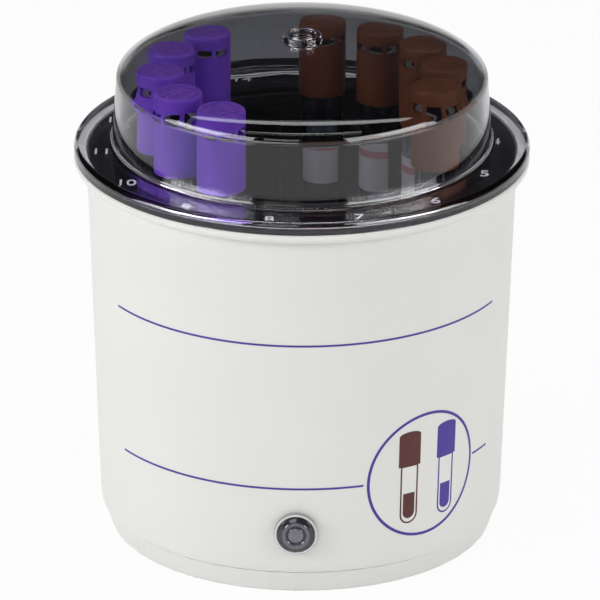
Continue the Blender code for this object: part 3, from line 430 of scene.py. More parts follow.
def vent_tree():
    """Windows cut through a cap's wall: boxes on a circle, taken out of it."""
    sizes = dict.fromkeys(("Radius", "Width", "Height", "Depth", "Level"), "Float")
    tree, given = geometry_tree(
        "cap_vents", "Cap", Cap="Geometry", Count="Int", **sizes, Finish="Material"
    )
    ring = add(tree, "GeometryNodeMeshCircle", {"Vertices": given["Count"], "Radius": given["Radius"]})
    inputs = {"X": given["Depth"], "Y": given["Width"], "Z": given["Height"]}
    size = add(tree, "ShaderNodeCombineXYZ", inputs)
    window = add(tree, "GeometryNodeMeshCube", {"Size": size.outputs[0]})
    place = add(tree, "GeometryNodeInputPosition")
    turn = add(tree, "FunctionNodeAlignRotationToVector", {"Vector": place.outputs[0]}, axis="X")
    inputs = {
        "Points": ring.outputs["Mesh"],
        "Instance": window.outputs["Mesh"],
        "Rotation": turn.outputs[0],
    }
    spread = add(tree, "GeometryNodeInstanceOnPoints", inputs)
    real = add(tree, "GeometryNodeRealizeInstances", {"Geometry": spread.outputs["Instances"]})
    raised = add(tree, "ShaderNodeCombineXYZ", {"Z": given["Level"]})
    inputs = {"Geometry": real.outputs["Geometry"], "Translation": raised.outputs[0]}
    lift = add(tree, "GeometryNodeTransform", inputs)
    less = add(tree, "GeometryNodeMeshBoolean", operation="DIFFERENCE", solver="EXACT")
    tree.links.new(given["Cap"], less.inputs["Mesh 1"])
    tree.links.new(lift.outputs["Geometry"], less.inputs["Mesh 2"])
    inputs = {"Geometry": less.outputs["Mesh"], "Material": given["Finish"]}
    dress = add(tree, "GeometryNodeSetMaterial", inputs)
    add(tree, "NodeGroupOutput", {"Cap": dress.outputs["Geometry"]})
    return tree


# Finishes


class Finish:
    """A procedural material that reads Object coordinates, in metres."""

    def __init__(self, name):
        self.material = bpy.data.materials.new(name)
        self.material.use_nodes = True
        self.tree = self.material.node_tree
        self.shader = self.tree.nodes["Principled BSDF"]
        self.place = self.tree.nodes.new("ShaderNodeTexCoord").outputs["Object"]

    def put(self, **values):
        for name, value in values.items():
            socket = self.shader.inputs[name.replace("_", " ").title().replace("Ior", "IOR")]
            if isinstance(value, NodeSocket):
                self.tree.links.new(value, socket)
            else:
                socket.default_value = (*value, 1.0) if name.endswith("color") else value

    def node(self, kind, inputs=None, **fields):
        return add(self.tree, kind, inputs, **fields)

    def noise(self, size, detail=3.0, roughness=0.55):
        """Cloudy values whose features are about size metres across."""
        inputs = {"Vector": self.place, "Scale": 1.0 / size, "Detail": detail, "Roughness": roughness}
        return self.node("ShaderNodeTexNoise", inputs).outputs["Fac"]

    def span(self, value, from_low, from_high, to_low=0.0, to_high=1.0):
        names = ("Value", "From Min", "From Max", "To Min", "To Max")
        inputs = dict(zip(names, (value, from_low, from_high, to_low, to_high)))
        return self.node("ShaderNodeMapRange", inputs).outputs["Result"]

    def math(self, first, second, kind="ADD"):
        return self.node("ShaderNodeMath", {0: first, 1: second}, operation=kind).outputs[0]

    def between(self, value, start, full, end, gone):
        """One from full to end, fading out towards start and gone."""
        return self.math(self.span(value, start, full), self.span(value, end, gone, 1.0, 0.0), "MULTIPLY")

    def blend(self, factor, first, second):
        ends = [c if isinstance(c, NodeSocket) else (*c, 1.0) for c in (first, second)]
        inputs = {0: factor, 6: ends[0], 7: ends[1]}
        return self.node("ShaderNodeMix", inputs, data_type="RGBA").outputs[2]

    def clouds(self, size, first, second, detail=3.0):
        return self.blend(self.noise(size, detail), first, second)

    def bump(self, height, depth):
        """depth is the height of the relief in metres."""
        inputs = {"Height": height, "Distance": depth}
        self.put(normal=self.node("ShaderNodeBump", inputs).outputs["Normal"])

    def done(self, grain, smooth, dull, height=None, depth=0.0):
        """The material, with a roughness that wanders between two values and perhaps a relief."""
        self.put(roughness=self.span(self.noise(grain), 0.3, 0.7, smooth, dull))
        if height is not None:
            self.bump(height, depth)
        return self.material

    def distance(self, middle, counted):
        """Distance from a point along the axes that are counted."""
        away = self.node("ShaderNodeVectorMath", {0: self.place, 1: middle}, operation="SUBTRACT")
        inputs = {0: away.outputs[0], 1: counted}
        flat = self.node("ShaderNodeVectorMath", inputs, operation="MULTIPLY")
        return self.node("ShaderNodeVectorMath", {0: flat.outputs[0]}, operation="LENGTH").outputs["Value"]

    def lamp_distance(self):
        """Distance from the lamp's axis."""
        return self.distance((0.0, 0.0, LAMP_HEIGHT), (1.0, 0.0, 1.0))

    def height(self):
        return self.node("ShaderNodeSeparateXYZ", {0: self.place}).outputs["Z"]


def shade(colour, factor):
    return tuple(min(1.0, c * factor) for c in colour)


def moulded_white(colour):
    f = Finish("moulded_white")
    f.put(base_color=f.clouds(0.03, shade(colour, 0.975), shade(colour, 1.02), 2.0))
    waves = f.span(f.noise(0.02, 1.0), 0.3, 0.7, 0.0, 2.5)
    return f.done(0.0016, 0.30, 0.42, f.math(f.noise(0.00045, 2.0), waves), 0.000012)


def gloss_black(colour):
    """Black with small pale specks of dust."""
    f = Finish("gloss_black")
    cell, speck, dusty = 0.0024, 0.09, (0.16, 0.15, 0.16)
    cells = f.node("ShaderNodeTexVoronoi", {"Vector": f.place, "Scale": 1.0 / cell})
    dust = f.span(cells.outputs["Distance"], speck, speck * 0.6)
    f.put(base_color=f.blend(dust, colour, dusty))
    return f.done(0.004, 0.06, 0.16, f.noise(0.006, 2.0), 0.00002)


def satin_black():
    f = Finish("satin_black")
    f.put(base_color=f.clouds(0.002, (0.010, 0.010, 0.011), (0.020, 0.020, 0.022)))
    return f.done(0.0008, 0.32, 0.45, f.noise(0.0004, 2.0), 0.000003)


def anodised(colour):
    """Dark metal with fine turning marks round the incubator's axis."""
    f = Finish("black_anodised")
    fineness = 9000.0
    out = f.distance((0.0, 0.0, 0.0), (1.0, 1.0, 0.0))
    turning = f.math(f.math(out, fineness, "MULTIPLY"), 0.0, "SINE")
    f.put(base_color=f.clouds(0.004, shade(colour, 0.8), shade(colour, 1.5)), metallic=0.75)
    return f.done(0.0012, 0.26, 0.40, f.math(turning, f.noise(0.0005)), 0.000003)


def clear_plastic(tint):
    """By height: smoked in the dome, whose tint is partly painted shade for the dark surroundings seen
    through it, clear in the flange, and near black at the lip's lower edge, painted shade of the gap under
    the lip.
    """
    f = Finish("clear_plastic")
    dome_shade_fade, lip_shade_fade = (0.1176, 0.1200), (0.1148, 0.1153)
    dome, lip = f.span(f.height(), *dome_shade_fade), f.span(f.height(), *lip_shade_fade)
    # Painted shade: the lip's lower edge is near black, for the gap under the lip.
    flange = f.blend(lip, (0.030, 0.026, 0.034), (0.86, 0.85, 0.90))
    # Above the flange the tint takes over. It is partly the plastic's smoke and partly painted shade.
    f.put(base_color=f.blend(dome, flange, tint), transmission_weight=1.0, ior=1.49)
    f.put(roughness=f.span(f.noise(0.003, 4.0), 0.55, 0.8, 0.0, 0.05))
    f.bump(f.noise(0.014, 1.5), 0.00004)
    return f.material


def clear(name, colour, ior, grain, smooth, dull):
    f = Finish(name)
    f.put(base_color=colour, transmission_weight=1.0, ior=ior)
    return f.done(grain, smooth, dull)


def growth_medium():
    f = Finish("growth_medium")
    f.put(base_color=f.clouds(0.003, (0.10, 0.04, 0.26), (0.16, 0.08, 0.36)))
    return f.done(0.002, 0.05, 0.12)


def cap_plastic(name, colour):
    """Plain sides and a mottled top."""
    f = Finish(name)
    normal = f.node("ShaderNodeNewGeometry").outputs["Normal"]
    top = f.span(f.node("ShaderNodeSeparateXYZ", {0: normal}).outputs["Z"], 0.80, 0.97)
    mottle = f.span(f.noise(0.0009, 3.0, 0.7), 0.44, 0.56)
    sides = f.clouds(0.005, shade(colour, 0.85), shade(colour, 1.12), 2.0)
    speckled = f.blend(mottle, shade(colour, 0.70), shade(colour, 1.45))
    f.put(base_color=f.blend(top, sides, speckled), subsurface_weight=0.12, subsurface_scale=0.002)
    relief = f.math(f.noise(0.0005, 2.0), f.math(top, mottle, "MULTIPLY"))
    return f.done(0.001, 0.38, 0.55, relief, 0.00003)


def vent_disc():
    """Painted shade: dark in its middle, where shade falls deep in the cap, pale on its raised ring."""
    f = Finish("vent_disc")
    disc_shade_fade = (0.1308, 0.1310)
    pale = f.clouds(0.0006, (0.62, 0.62, 0.64), (0.85, 0.85, 0.85))
    # Painted shade: the disc is near black below its ring's height.
    f.put(base_color=f.blend(f.span(f.height(), *disc_shade_fade), (0.012, 0.012, 0.013), pale))
    return f.done(0.0004, 0.30, 0.50, f.noise(0.0003), 0.00003)


def label_paper(band):
    """White wrap with one band across it, left without words."""
    f = Finish("label_paper")
    paper = f.clouds(0.002, (0.72, 0.72, 0.73), (0.80, 0.80, 0.80))
    tinted = f.clouds(0.0012, band, shade(band, 1.25))
    band_edges = (0.1000, 0.1001, 0.1022, 0.1023)
    f.put(base_color=f.blend(f.between(f.height(), *band_edges), paper, tinted))
    return f.done(0.0005, 0.45, 0.60, f.noise(0.0003), 0.00001)


def printed(name, colour):
    f = Finish(name)
    f.put(base_color=f.clouds(0.0012, shade(colour, 0.88), shade(colour, 1.15)))
    return f.done(0.0006, 0.32, 0.46, f.noise(0.0004), 0.000005)


def smoked_lens(colour):
    """Dark, with painted highlights: paler on its ridge and in its middle, where the lamps' reflections
    fall.
    """
    f = Finish("smoked_lens")
    ridge_highlight_edges, middle_highlight_edge = (0.0026, 0.0031, 0.0037, 0.0041), (0.0019, 0.0024)
    out = f.lamp_distance()
    # Painted highlights: the ridge and the middle take a paler colour.
    ridge = f.math(f.between(out, *ridge_highlight_edges), 0.7, "MULTIPLY")
    light = f.math(ridge, f.span(out, *middle_highlight_edge, 1.0, 0.0))
    dark = f.clouds(0.002, shade(colour, 0.7), shade(colour, 1.5))
    f.put(base_color=f.blend(light, dark, shade(colour, 8.0)), coat_weight=0.5, coat_roughness=0.04)
    return f.done(0.0015, 0.10, 0.20)


def pale_bezel(colour):
    """Pale, with a thin grey line of painted shade at its outer edge, where it meets the tub."""
    f = Finish("pale_bezel")
    pale = f.clouds(0.003, shade(colour, 0.94), shade(colour, 1.04))
    # Painted shade: a grey line round the bezel's outer edge.
    edge_shade_fade = (0.00600, 0.00615)
    outline = f.span(f.lamp_distance(), *edge_shade_fade)
    f.put(base_color=f.blend(outline, pale, shade(colour, 0.42)))
    return f.done(0.001, 0.14, 0.26, f.noise(0.0006), 0.000005)


def plain(name, dark, light, grain, smooth, dull, metallic=0.0, relief=0.00001):
    """A finish with a fine grain: two colours, the grain's size and the range of its roughness."""
    f = Finish(name)
    f.put(base_color=f.clouds(grain, dark, light), metallic=metallic)
    return f.done(grain * 0.5, smooth, dull, f.noise(grain), relief)


# Pieces


class INCUBATOR_OT_tub(Operator):
    """Tapered tub with its rim bead, lid ridge and shelf"""

    bl_idname = "incubator.tub"
    bl_label = "Tub"

    def execute(self, context):
        tub = settings("tub")
        foot, ridge_top = low("housing_tub").z, high("housing_tub").z
        lid_gap, plate_gap, collar_gap = 0.0003, 0.0004, 0.0021
        ledge = low("lid_dome").z - lid_gap
        bead = ledge - tub.bead_drop
        ridge_in = high("top_plate").x + plate_gap
        ridge_out = ridge_in + tub.ridge_width
        inside = high("block_collar").x + collar_gap
        fine, soft, plug_half = 0.0003, 0.0008, 0.006
        brow = ledge - soft
        profile = [
            (inside, tub.shelf),
            (ridge_in, tub.shelf),
            *bow(ridge_in + fine, ridge_top - fine, fine, 180.0, 90.0, 4),
            *bow(ridge_out - fine, ridge_top - fine, fine, 90.0, 0.0, 4),
            (ridge_out, ledge),
            *bow(tub.rim_radius - soft, brow, soft, 90.0, 0.0, 5),
        ]
        neck = tub_radius(bead) + 0.0002
        for k in range(1, 13):
            a = radians(90.0 * k / 12)
            r = neck + (tub.rim_radius - neck) * cos(a) ** 0.8
            profile.append((r, brow - (brow - bead) * sin(a)))
        profile += bow(tub_radius(bead) + fine, bead - fine, fine, 90.0, 180.0, 3)
        profile += [(tub_radius(z), z) for z in (bead - 0.003, foot + 0.004)]
        base = tub_radius(foot)
        for k in range(1, 9):
            part = k / 8
            profile.append((base - tub.edge_set * part**2.2, foot + 0.0030 * (1.0 - part)))
        under = tub.shelf - tub.wall
        profile += [(base - tub.edge_set - 0.0003, foot), (base - tub.wall, foot)]
        profile += [(tub_radius(under) - tub.wall, under), (inside, under)]
        shell = turned(profile)
        holes = []
        for side, z, radius in ((FRONT, LAMP_HEIGHT, 0.0047), (BACK, GLAND_HEIGHT, 0.0060)):
            plug = [(0.0, -plug_half), (radius, -plug_half), (radius, plug_half), (0.0, plug_half)]
            holes.append(turned(plug, FINE_STEPS, on_wall(side, z)))
        mesh = smoothed(cut(shell, *holes))
        piece("tub", mesh, moulded_white(tub.colour), TUB, ["housing_tub"])
        return {"FINISHED"}


def numbered(name, last):
    return [f"{name}_{k}" for k in range(1, last + 1)]


class INCUBATOR_OT_base(Operator):
    """Finishes of the foot ring, the feet, the screws and everything inside the tub"""

    bl_idname = "incubator.base"
    bl_label = "Base and inner parts"

    def execute(self, context):
        rubber = plain("black_rubber", (0.012, 0.012, 0.012), (0.03, 0.03, 0.03), 0.0007, 0.75, 0.95)
        steel = plain("plain_steel", (0.42, 0.42, 0.44), (0.62, 0.62, 0.63), 0.0010, 0.22, 0.40, 1.0)
        felt = plain("felt", (0.46, 0.42, 0.33), (0.70, 0.66, 0.55), 0.0009, 0.9, 1.0, 0.0, 0.0003)
        silicone = plain("red_silicone", (0.30, 0.05, 0.02), (0.42, 0.09, 0.04), 0.0012, 0.5, 0.7)
        cream = plain("cream_plastic", (0.60, 0.55, 0.42), (0.70, 0.66, 0.52), 0.002, 0.4, 0.55)
        grey = plain("grey_plastic", (0.20, 0.21, 0.22), (0.30, 0.31, 0.32), 0.002, 0.4, 0.6)
        sleeve = plain("wire_sleeve", (0.36, 0.38, 0.40), (0.52, 0.54, 0.56), 0.0006, 0.45, 0.65)
        screws = numbered("base_screw", 3) + numbered("block_standoff", 3) + numbered("thermostat_screw", 2)
        clamps = ["thermostat", "thermal_fuse", "fuse_clip", "fuse_clip_screw", "lamp_nut"]
        leads = ["thermostat_lead", "fuse_lead", "heater_lead", "return_lead"]
        for finish, nodes in (
            (bpy.data.materials["moulded_white"], ["base_cover"]),
            (rubber, numbered("rubber_foot", 4)),
            (steel, screws + clamps + ["terminal_mount_screw"]),
            (felt, ["insulation_sleeve", "insulation_pad"]),
            (silicone, ["heater_pad"]),
            (cream, ["terminal_block"]),
            (grey, ["lamp_body"]),
            (sleeve, leads + ["lamp_lead_left", "lamp_lead_right"]),
            (satin_black(), ["cord_gland", "gland_nut"]),
        ):
            for name in nodes:
                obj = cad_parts[name]
                if not obj.material_slots:
                    obj.data.materials.append(None)
                for slot in obj.material_slots:
                    slot.material = finish
        return {"FINISHED"}


class INCUBATOR_OT_plate(Operator):
    """Black plate and the ring under it"""

    bl_idname = "incubator.plate"
    bl_label = "Plate"

    def execute(self, context):
        plate = settings("plate")
        edge = 0.00045
        base, top, outer = low("top_plate").z, high("top_plate").z, high("top_plate").x
        bore = plate.bore
        profile = [(bore, base), (outer, base)]
        profile += bow(outer - edge, top - edge, edge, 0.0, 90.0, 4)
        profile += bow(bore + edge, top - edge, edge, 90.0, 180.0, 4)
        black = gloss_black(plate.colour)
        piece("plate", turned(profile), black, TUB, ["top_plate"])
        base, top, outer = low("block_collar").z, high("block_collar").z, high("block_collar").x
        bore = plate.collar_bore
        profile = bow(bore + edge, base + edge, edge, 180.0, 270.0, 3)
        profile += [(outer, base), (outer, top)]
        profile += bow(bore + edge, top - edge, edge, 90.0, 180.0, 3)
        collar = turned(profile)
        piece("collar", collar, satin_black(), TUB, ["block_collar"])
        return {"FINISHED"}


class INCUBATOR_OT_numerals(Operator):
    """Plain well numbers on the plate"""

    bl_idname = "incubator.numerals"
    bl_label = "Well numbers"

    def execute(self, context):
        plate = settings("plate")
        whole = bmesh.new()
        for number in range(1, settings("block").wells + 1):
            curve = bpy.data.curves.new("numeral", "FONT")
            curve.body = str(number)
            curve.size = plate.numeral_size
            curve.align_x = curve.align_y = "CENTER"
            curve.extrude = FILM
            mesh = settled(shown("numeral", curve))
            bpy.data.curves.remove(curve)
            spot = around(plate.numeral_radius, well_angle(number), high("top_plate").z + FILM)
            mesh.transform(Matrix.Translation(spot + Vector((plate.numeral_shift, 0.0, 0.0))))
            whole.from_mesh(mesh)
            bpy.data.meshes.remove(mesh)
        bmesh.ops.remove_doubles(whole, verts=whole.verts, dist=1e-6)
        bmesh.ops.recalc_face_normals(whole, faces=whole.faces)
        white = printed("white_print", plate.numeral)
        piece("numerals", mesh_of(whole), white, TUB)
        return {"FINISHED"}


class INCUBATOR_OT_block(Operator):
    """Anodised block with its open-sided wells"""

    bl_idname = "incubator.block"
    bl_label = "Block"

    def execute(self, context):
        block = settings("block")
        ring, well, land = block.well_ring, block.well_radius, block.land_radius
        half = acos((ring**2 + land**2 - well**2) / (2.0 * ring * land))
        mouth = around(land, half) - around(ring, 0.0)
        sweep = pi - atan2(mouth.x, mouth.y)
        steps = 20
        stretch = []
        for k in range(steps + 1):
            a = sweep - 2.0 * sweep * k / steps
            stretch.append(Vector((well * sin(a), -ring - well * cos(a), 0.0)))
        for part in (0.5, 1.0, 1.5):
            stretch.append(around(land, -half - (pi / block.wells - half) * part))
        outline = []
        for number in range(1, block.wells + 1):
            turn = Matrix.Rotation(well_angle(number), 3, "Z")
            outline += [(turn @ point).xy[:] for point in stretch]
        radius, edge = high("heating_block").x, 0.0006
        base, top = low("heating_block").z, high("heating_block").z
        profile = [(0.0, base)] + bow(radius - edge, base + edge, edge, 270.0, 360.0, 3)
        profile += bow(radius - edge, top - edge, edge, 0.0, 90.0, 3) + [(0.0, top)]
        body = turned(profile)
        cavity = mesh_of(prism(outline, block.floor, top + 0.002))
        mesh = smoothed(cut(body, cavity), 30.0)
        piece("block", mesh, anodised(block.colour), TUB, ["heating_block"])
        return {"FINISHED"}


class INCUBATOR_OT_lid(Operator):
    """Clear lid: lip, flange, fillet, wall, crown and the small ring at its top"""

    bl_idname = "incubator.lid"
    bl_label = "Lid"

    def execute(self, context):
        lid = settings("lid")
        lip, foot, peak = high("lid_dome").x, low("lid_dome").z, high("lid_dome").z
        outer = lid.dome_bore + lid.wall
        outer_foot = outer + lid.spread
        bore = lip - lid.lip
        apex = lid.shoulder + lid.crown
        soft, tiny, corner = 0.0008, 0.0003, lid.lip_round
        rise = lid.crown - lid.wall + lid.shoulder_set
        inner = bow(0.0, lid.shoulder - lid.shoulder_set, lid.dome_bore, 0.0, 90.0, 40, rise)
        crown = bow(0.0, lid.shoulder, outer, 0.0, 90.0, 40, lid.crown)
        ring, ring_bore = lid.ring_radius, lid.ring_bore
        ring_z = lid.shoulder + lid.crown * sqrt(1.0 - (ring / outer) ** 2)
        profile = [
            (0.0, inner[-1][1]),
            *reversed(inner[:-1]),
            *bow(outer_foot - lid.wall + soft, lid.flange_low + soft, soft, 180.0, 270.0, 4),
            (bore - tiny, lid.flange_low),
            (bore, lid.flange_low - tiny),
            *bow(bore + tiny, foot + tiny, tiny, 180.0, 270.0, 3),
            *bow(lip - tiny, foot + tiny, tiny, 270.0, 360.0, 3),
            *bow(lip - corner, lid.flange_top - corner, corner, 0.0, 90.0, 12),
            *bow(outer_foot + lid.fillet, lid.flange_top + lid.fillet, lid.fillet, 270.0, 180.0, 8),
            *[point for point in crown if point[0] > ring + 0.0012],
            *bow(ring + tiny, ring_z + tiny, tiny, 270.0, 180.0, 3),
            *bow(ring - tiny, peak - tiny, tiny, 0.0, 90.0, 4),
            *bow(ring_bore + tiny, peak - tiny, tiny, 90.0, 180.0, 4),
            *bow(ring_bore - tiny, apex + tiny, tiny, 0.0, -90.0, 3),
            (0.0, apex),
        ]
        mesh = turned(profile, sharp=50.0)
        dome = piece("lid", mesh, clear_plastic(lid.tint), LID, ["lid_dome"])
        dome.visible_shadow = False
        return {"FINISHED"}


class INCUBATOR_OT_caps(Operator):
    """Vial caps with a ring of vent windows, and the disc behind the windows"""

    bl_idname = "incubator.caps"
    bl_label = "Vial caps"

    def execute(self, context):
        vials = settings("vials")
        foot, top = low("vial_cap_01").z, high("vial_cap_01").z
        radius = (high("vial_cap_01").x - low("vial_cap_01").x) / 2.0
        bore, soft, tiny = 0.00605, 0.0010, 0.0003
        length, window_half, turn_step = top - foot, 17.0, 17.0
        roof = length - 0.0016
        profile = [
            (0.0, roof),
            (bore - soft, roof),
            *bow(bore - soft, roof - soft, soft, 90.0, 0.0, 3),
            (bore, tiny),
            *bow(radius - tiny, tiny, tiny, 270.0, 360.0, 3),
            (radius, vials.grip),
            *bow(radius - soft, length - soft, soft, 0.0, 90.0, 7),
            *bow(radius - 0.0018, length - 0.00004, 0.0002, 90.0, 200.0, 3)[1:],
            (radius - 0.0023, length - 0.00018),
            (0.0, length - 0.00008),
        ]
        tree = vent_tree()
        for wells, name, colour in ((BROWN_WELLS, "brown", vials.brown), (BLUE_WELLS, "blue", vials.blue)):
            finish = cap_plastic(name + "_cap_plastic", colour)
            cap = shown("cap_shape", turned(profile, FINE_STEPS))
            with_tree(
                cap,
                tree,
                Count=vials.vents,
                Radius=radius - 0.0004,
                Width=2.0 * radius * sin(radians(window_half)),
                Height=vials.vent_height,
                Depth=0.0022,
                Level=vials.vent_low + vials.vent_height / 2.0,
                Finish=finish,
            )
            master = settled(cap)
            for number in wells:
                mesh = master.copy()
                turn = Matrix.Rotation(radians(number * turn_step), 4, "Z")
                mesh.transform(Matrix.Translation(well_place(number, foot)) @ turn)
                node = f"vial_cap_{number:02d}"
                piece(f"cap_{number:02d}", smoothed(mesh), finish, TUB, [node])
            bpy.data.meshes.remove(master)
        disc = [
            (0.0, 0.0002),
            (bore - 0.0003, 0.0002),
            (bore - 0.0003, 0.0022),
            *bow(bore - 0.0008, 0.0022, 0.0005, 0.0, 90.0, 3),
            (0.0036, 0.0027),
            (0.0036, 0.0010),
            (0.0, 0.0010),
        ]
        tube_top = high("vial_tube_01").z
        places = [well_place(number, tube_top) for number in BROWN_WELLS + BLUE_WELLS]
        repeated("vent_discs", turned(disc, FINE_STEPS), places, vent_disc())
        return {"FINISHED"}


class INCUBATOR_OT_tubes(Operator):
    """Clear vial tubes with their labels, and the glass ampoule in each"""

    bl_idname = "incubator.tubes"
    bl_label = "Vial tubes"

    def execute(self, context):
        vials = settings("vials")
        wells = BROWN_WELLS + BLUE_WELLS
        foot, top = low("vial_tube_01").z, high("vial_tube_01").z
        radius = (high("vial_tube_01").x - low("vial_tube_01").x) / 2.0
        wall, edge = 0.0009, 0.0003
        inner, length = radius - wall, top - foot
        profile = [
            (0.0, 0.0),
            *bow(0.0, radius, radius, -80.0, 0.0, 8),
            (radius, length - edge),
            (radius - edge, length),
            (inner, length),
            *bow(0.0, radius, inner, 0.0, -80.0, 8),
            (0.0, radius - inner),
        ]
        master = turned(profile, FINE_STEPS)
        finish = clear("vial_plastic", (0.80, 0.85, 0.95), 1.49, 0.002, 0.03, 0.12)
        for number in wells:
            mesh = master.copy()
            mesh.transform(Matrix.Translation(well_place(number, foot)))
            node = f"vial_tube_{number:02d}"
            tube = piece(f"tube_{number:02d}", mesh, finish, TUB, [node])
            tube.visible_shadow = False
        bpy.data.meshes.remove(master)
        places = [well_place(number) for number in wells]

        back, face = radius + 0.00003, radius + 0.0001
        label = [(back, vials.label_low), (face, vials.label_low)]
        label += [(face, vials.label_top), (back, vials.label_top)]
        shape = turned(label, FINE_STEPS)
        repeated("labels", shape, places, label_paper(vials.band))

        bulb, neck, start = 0.0039, 0.0014, foot + 0.0016
        shoulder, neck_foot, tip = start + 0.028, start + 0.0345, start + 0.038
        outside = [
            (0.0, start),
            *bow(0.0, start + bulb, bulb, -80.0, 0.0, 8),
            *bow(0.0, shoulder, bulb, 0.0, 60.0, 5),
            (neck, neck_foot),
            (neck, tip),
            *bow(0.0, tip, neck, 30.0, 90.0, 3),
        ]
        outside[-1] = (0.0, outside[-1][1])
        shape = turned(outside, SMALL_STEPS)
        glass = clear("ampoule_glass", (0.90, 0.90, 0.97), 1.45, 0.004, 0.0, 0.03)
        repeated("ampoules", shape, places, glass).visible_shadow = False
        thin, level = bulb - 0.0005, start + 0.017
        inside = [(0.0, start + 0.0005)] + bow(0.0, start + bulb, thin, -80.0, 0.0, 6)
        inside += [(thin, level), (0.0, level)]
        shape = turned(inside, SMALL_STEPS)
        repeated("growth_medium", shape, places, growth_medium())
        return {"FINISHED"}


def tub_print(name, bm, centre_angle, ink):
    """A flat print in X and Z, laid on the tub round an angle and given its thickness."""
    step = 0.0010
    reach = ceil(max(abs(v.co.x) for v in bm.verts) / step)
    for k in range(-reach, reach + 1):
        geom = bm.verts[:] + bm.edges[:] + bm.faces[:]
        bmesh.ops.bisect_plane(bm, geom=geom, plane_co=(k * step, 0, 0), plane_no=(1, 0, 0))
    grown = bmesh.ops.extrude_face_region(bm, geom=bm.faces[:], use_keep_orig=True)
    for v in (v for v in grown["geom"] if isinstance(v, bmesh.types.BMVert)):
        v.co.y = 1.0
    for v in bm.verts:
        radius = tub_radius(v.co.z) + (FILM if v.co.y > 0.5 else -FILM * 0.25)
        v.co = around(radius, centre_angle + v.co.x / tub_radius(v.co.z), v.co.z)
    bmesh.ops.recalc_face_normals(bm, faces=bm.faces)
    piece(name, mesh_of(bm), ink, TUB)


def filled(bm, outline):
    bm.faces.new([bm.verts.new((x, 0.0, z)) for x, z in outline])


def stroked(bm, outline, width):
    """A line of one width that follows a closed outline, on its inner side."""
    last = len(outline)
    middle = Vector((sum(p[0] for p in outline) / last, sum(p[1] for p in outline) / last))
    inner = []
    for k in range(last):
        before, here, after = (Vector(outline[(k + d) % last]) for d in (-1, 0, 1))
        way = (after - before).normalized()
        side = Vector((-way.y, way.x))
        if side.dot(middle - here) < 0.0:
            side = -side
        inner.append(here + side * width)
    ring, core = ([bm.verts.new((x, 0.0, z)) for x, z in line] for line in (outline, inner))
    for k in range(last):
        n = (k + 1) % last
        bm.faces.new((ring[k], ring[n], core[n], core[k]))


def vial_print(bm, foot):
    """A small printed vial above a height: the outline of its tube, its cap and its ink."""
    half, height = 0.0029, 0.0286
    cap_half, crest = 0.0036, 0.0012
    cap_low, brim = foot + height - height * 0.375, foot + height - crest
    tube = [(half, cap_low), (-half, cap_low)]
    tube += bow(0.0, foot + half, half, 180.0, 360.0, 12)[:-1] + [(half, foot + half)]
    stroked(bm, tube, 0.0005)
    cap = [(-cap_half, cap_low), (cap_half, cap_low)]
    filled(bm, cap + bow(0.0, brim, cap_half, 0.0, 180.0, 12, crest))
    core, level, floor = half - 0.0010, foot + height * 0.33, foot + half + 0.0006
    content = [(core, level), (-core, level)]
    filled(bm, content + bow(0.0, floor, core, 180.0, 360.0, 12)[:-1] + [(core, floor)])


class INCUBATOR_OT_prints(Operator):
    """Stripes and the ring with two plain vials, printed on the tub"""

    bl_idname = "incubator.prints"
    bl_label = "Prints on the tub"

    def execute(self, context):
        look = settings("prints")
        ink = printed("stripe_ink", look.colour)
        edge = look.stripe / 2.0
        for name, height, start, end in (
            ("upper_stripe", look.upper, -58.4, 65.5),
            ("lower_stripe", look.lower, -57.8, 18.9),
            ("lower_stripe_end", look.lower, 57.9, 65.6),
        ):
            half = radians(end - start) / 2.0 * tub_radius(height)
            corners = [(-half, -edge), (half, -edge), (half, edge), (-half, edge)]
            bm = bmesh.new()
            filled(bm, [(x, height + z) for x, z in corners])
            tub_print(name, bm, radians((start + end) / 2.0), ink)
        bm = bmesh.new()
        circle = bow(0.0, look.lower, look.ring_radius, 0.0, 360.0, 96)[:-1]
        stroked(bm, circle, look.ring_stroke)
        tub_print("printed_ring", bm, look.ring_angle, ink)
        dark = printed("dark_ink", look.dark)
        for name, angle, colour in (("dark_vial", 33.0, dark), ("blue_vial", 45.9, ink)):
            bm = bmesh.new()
            vial_print(bm, look.lower - 0.0143)
            tub_print("printed_" + name, bm, radians(angle), colour)
        return {"FINISHED"}


class INCUBATOR_OT_lamp(Operator):
    """Pilot lamp: pale bezel and smoked lens with moulded rings"""

    bl_idname = "incubator.lamp"
    bl_label = "Pilot lamp"

    def execute(self, context):
        lamp = settings("lamp")
        bezel, recess, bore, sleeve = 0.0062, 0.0055, 0.0037, 0.0044
        proud, depth, thickness, length = 0.0003, 0.00105, 0.0017, 0.013
        soft, tiny, gap = 0.00035, 0.0001, 0.0003
        back = proud + settings("tub").cone_draft * bezel
        tail, face = back - length, back + thickness
        seat = face - depth
        profile = [
            (bore, tail),
            (sleeve, tail),
            (sleeve, back),
            (bezel, back),
            *bow(bezel - soft, face - soft, soft, 0.0, 90.0, 4),
            (recess + tiny, face),
            (recess, face - tiny),
            (recess, seat),
            (bore, seat),
        ]
        place = on_wall(FRONT, LAMP_HEIGHT)
        mesh = turned(profile, FINE_STEPS, place)
        piece("lamp_bezel_ring", mesh, pale_bezel(lamp.bezel), TUB, ["lamp_bezel"])

        radius, base = recess - gap, seat + gap
        lens = [(0.0, base), (radius, base), (radius, base + 0.0006), (radius - 0.0002, base + 0.0008)]
        lens += [(radius * part, base + rise * 0.001) for part, rise in LENS_RINGS]
        mesh = turned(lens, FINE_STEPS, place, sharp=80.0)
        piece("lamp_lens_rings", mesh, smoked_lens(lamp.lens), TUB, ["lamp_lens"])
        return {"FINISHED"}


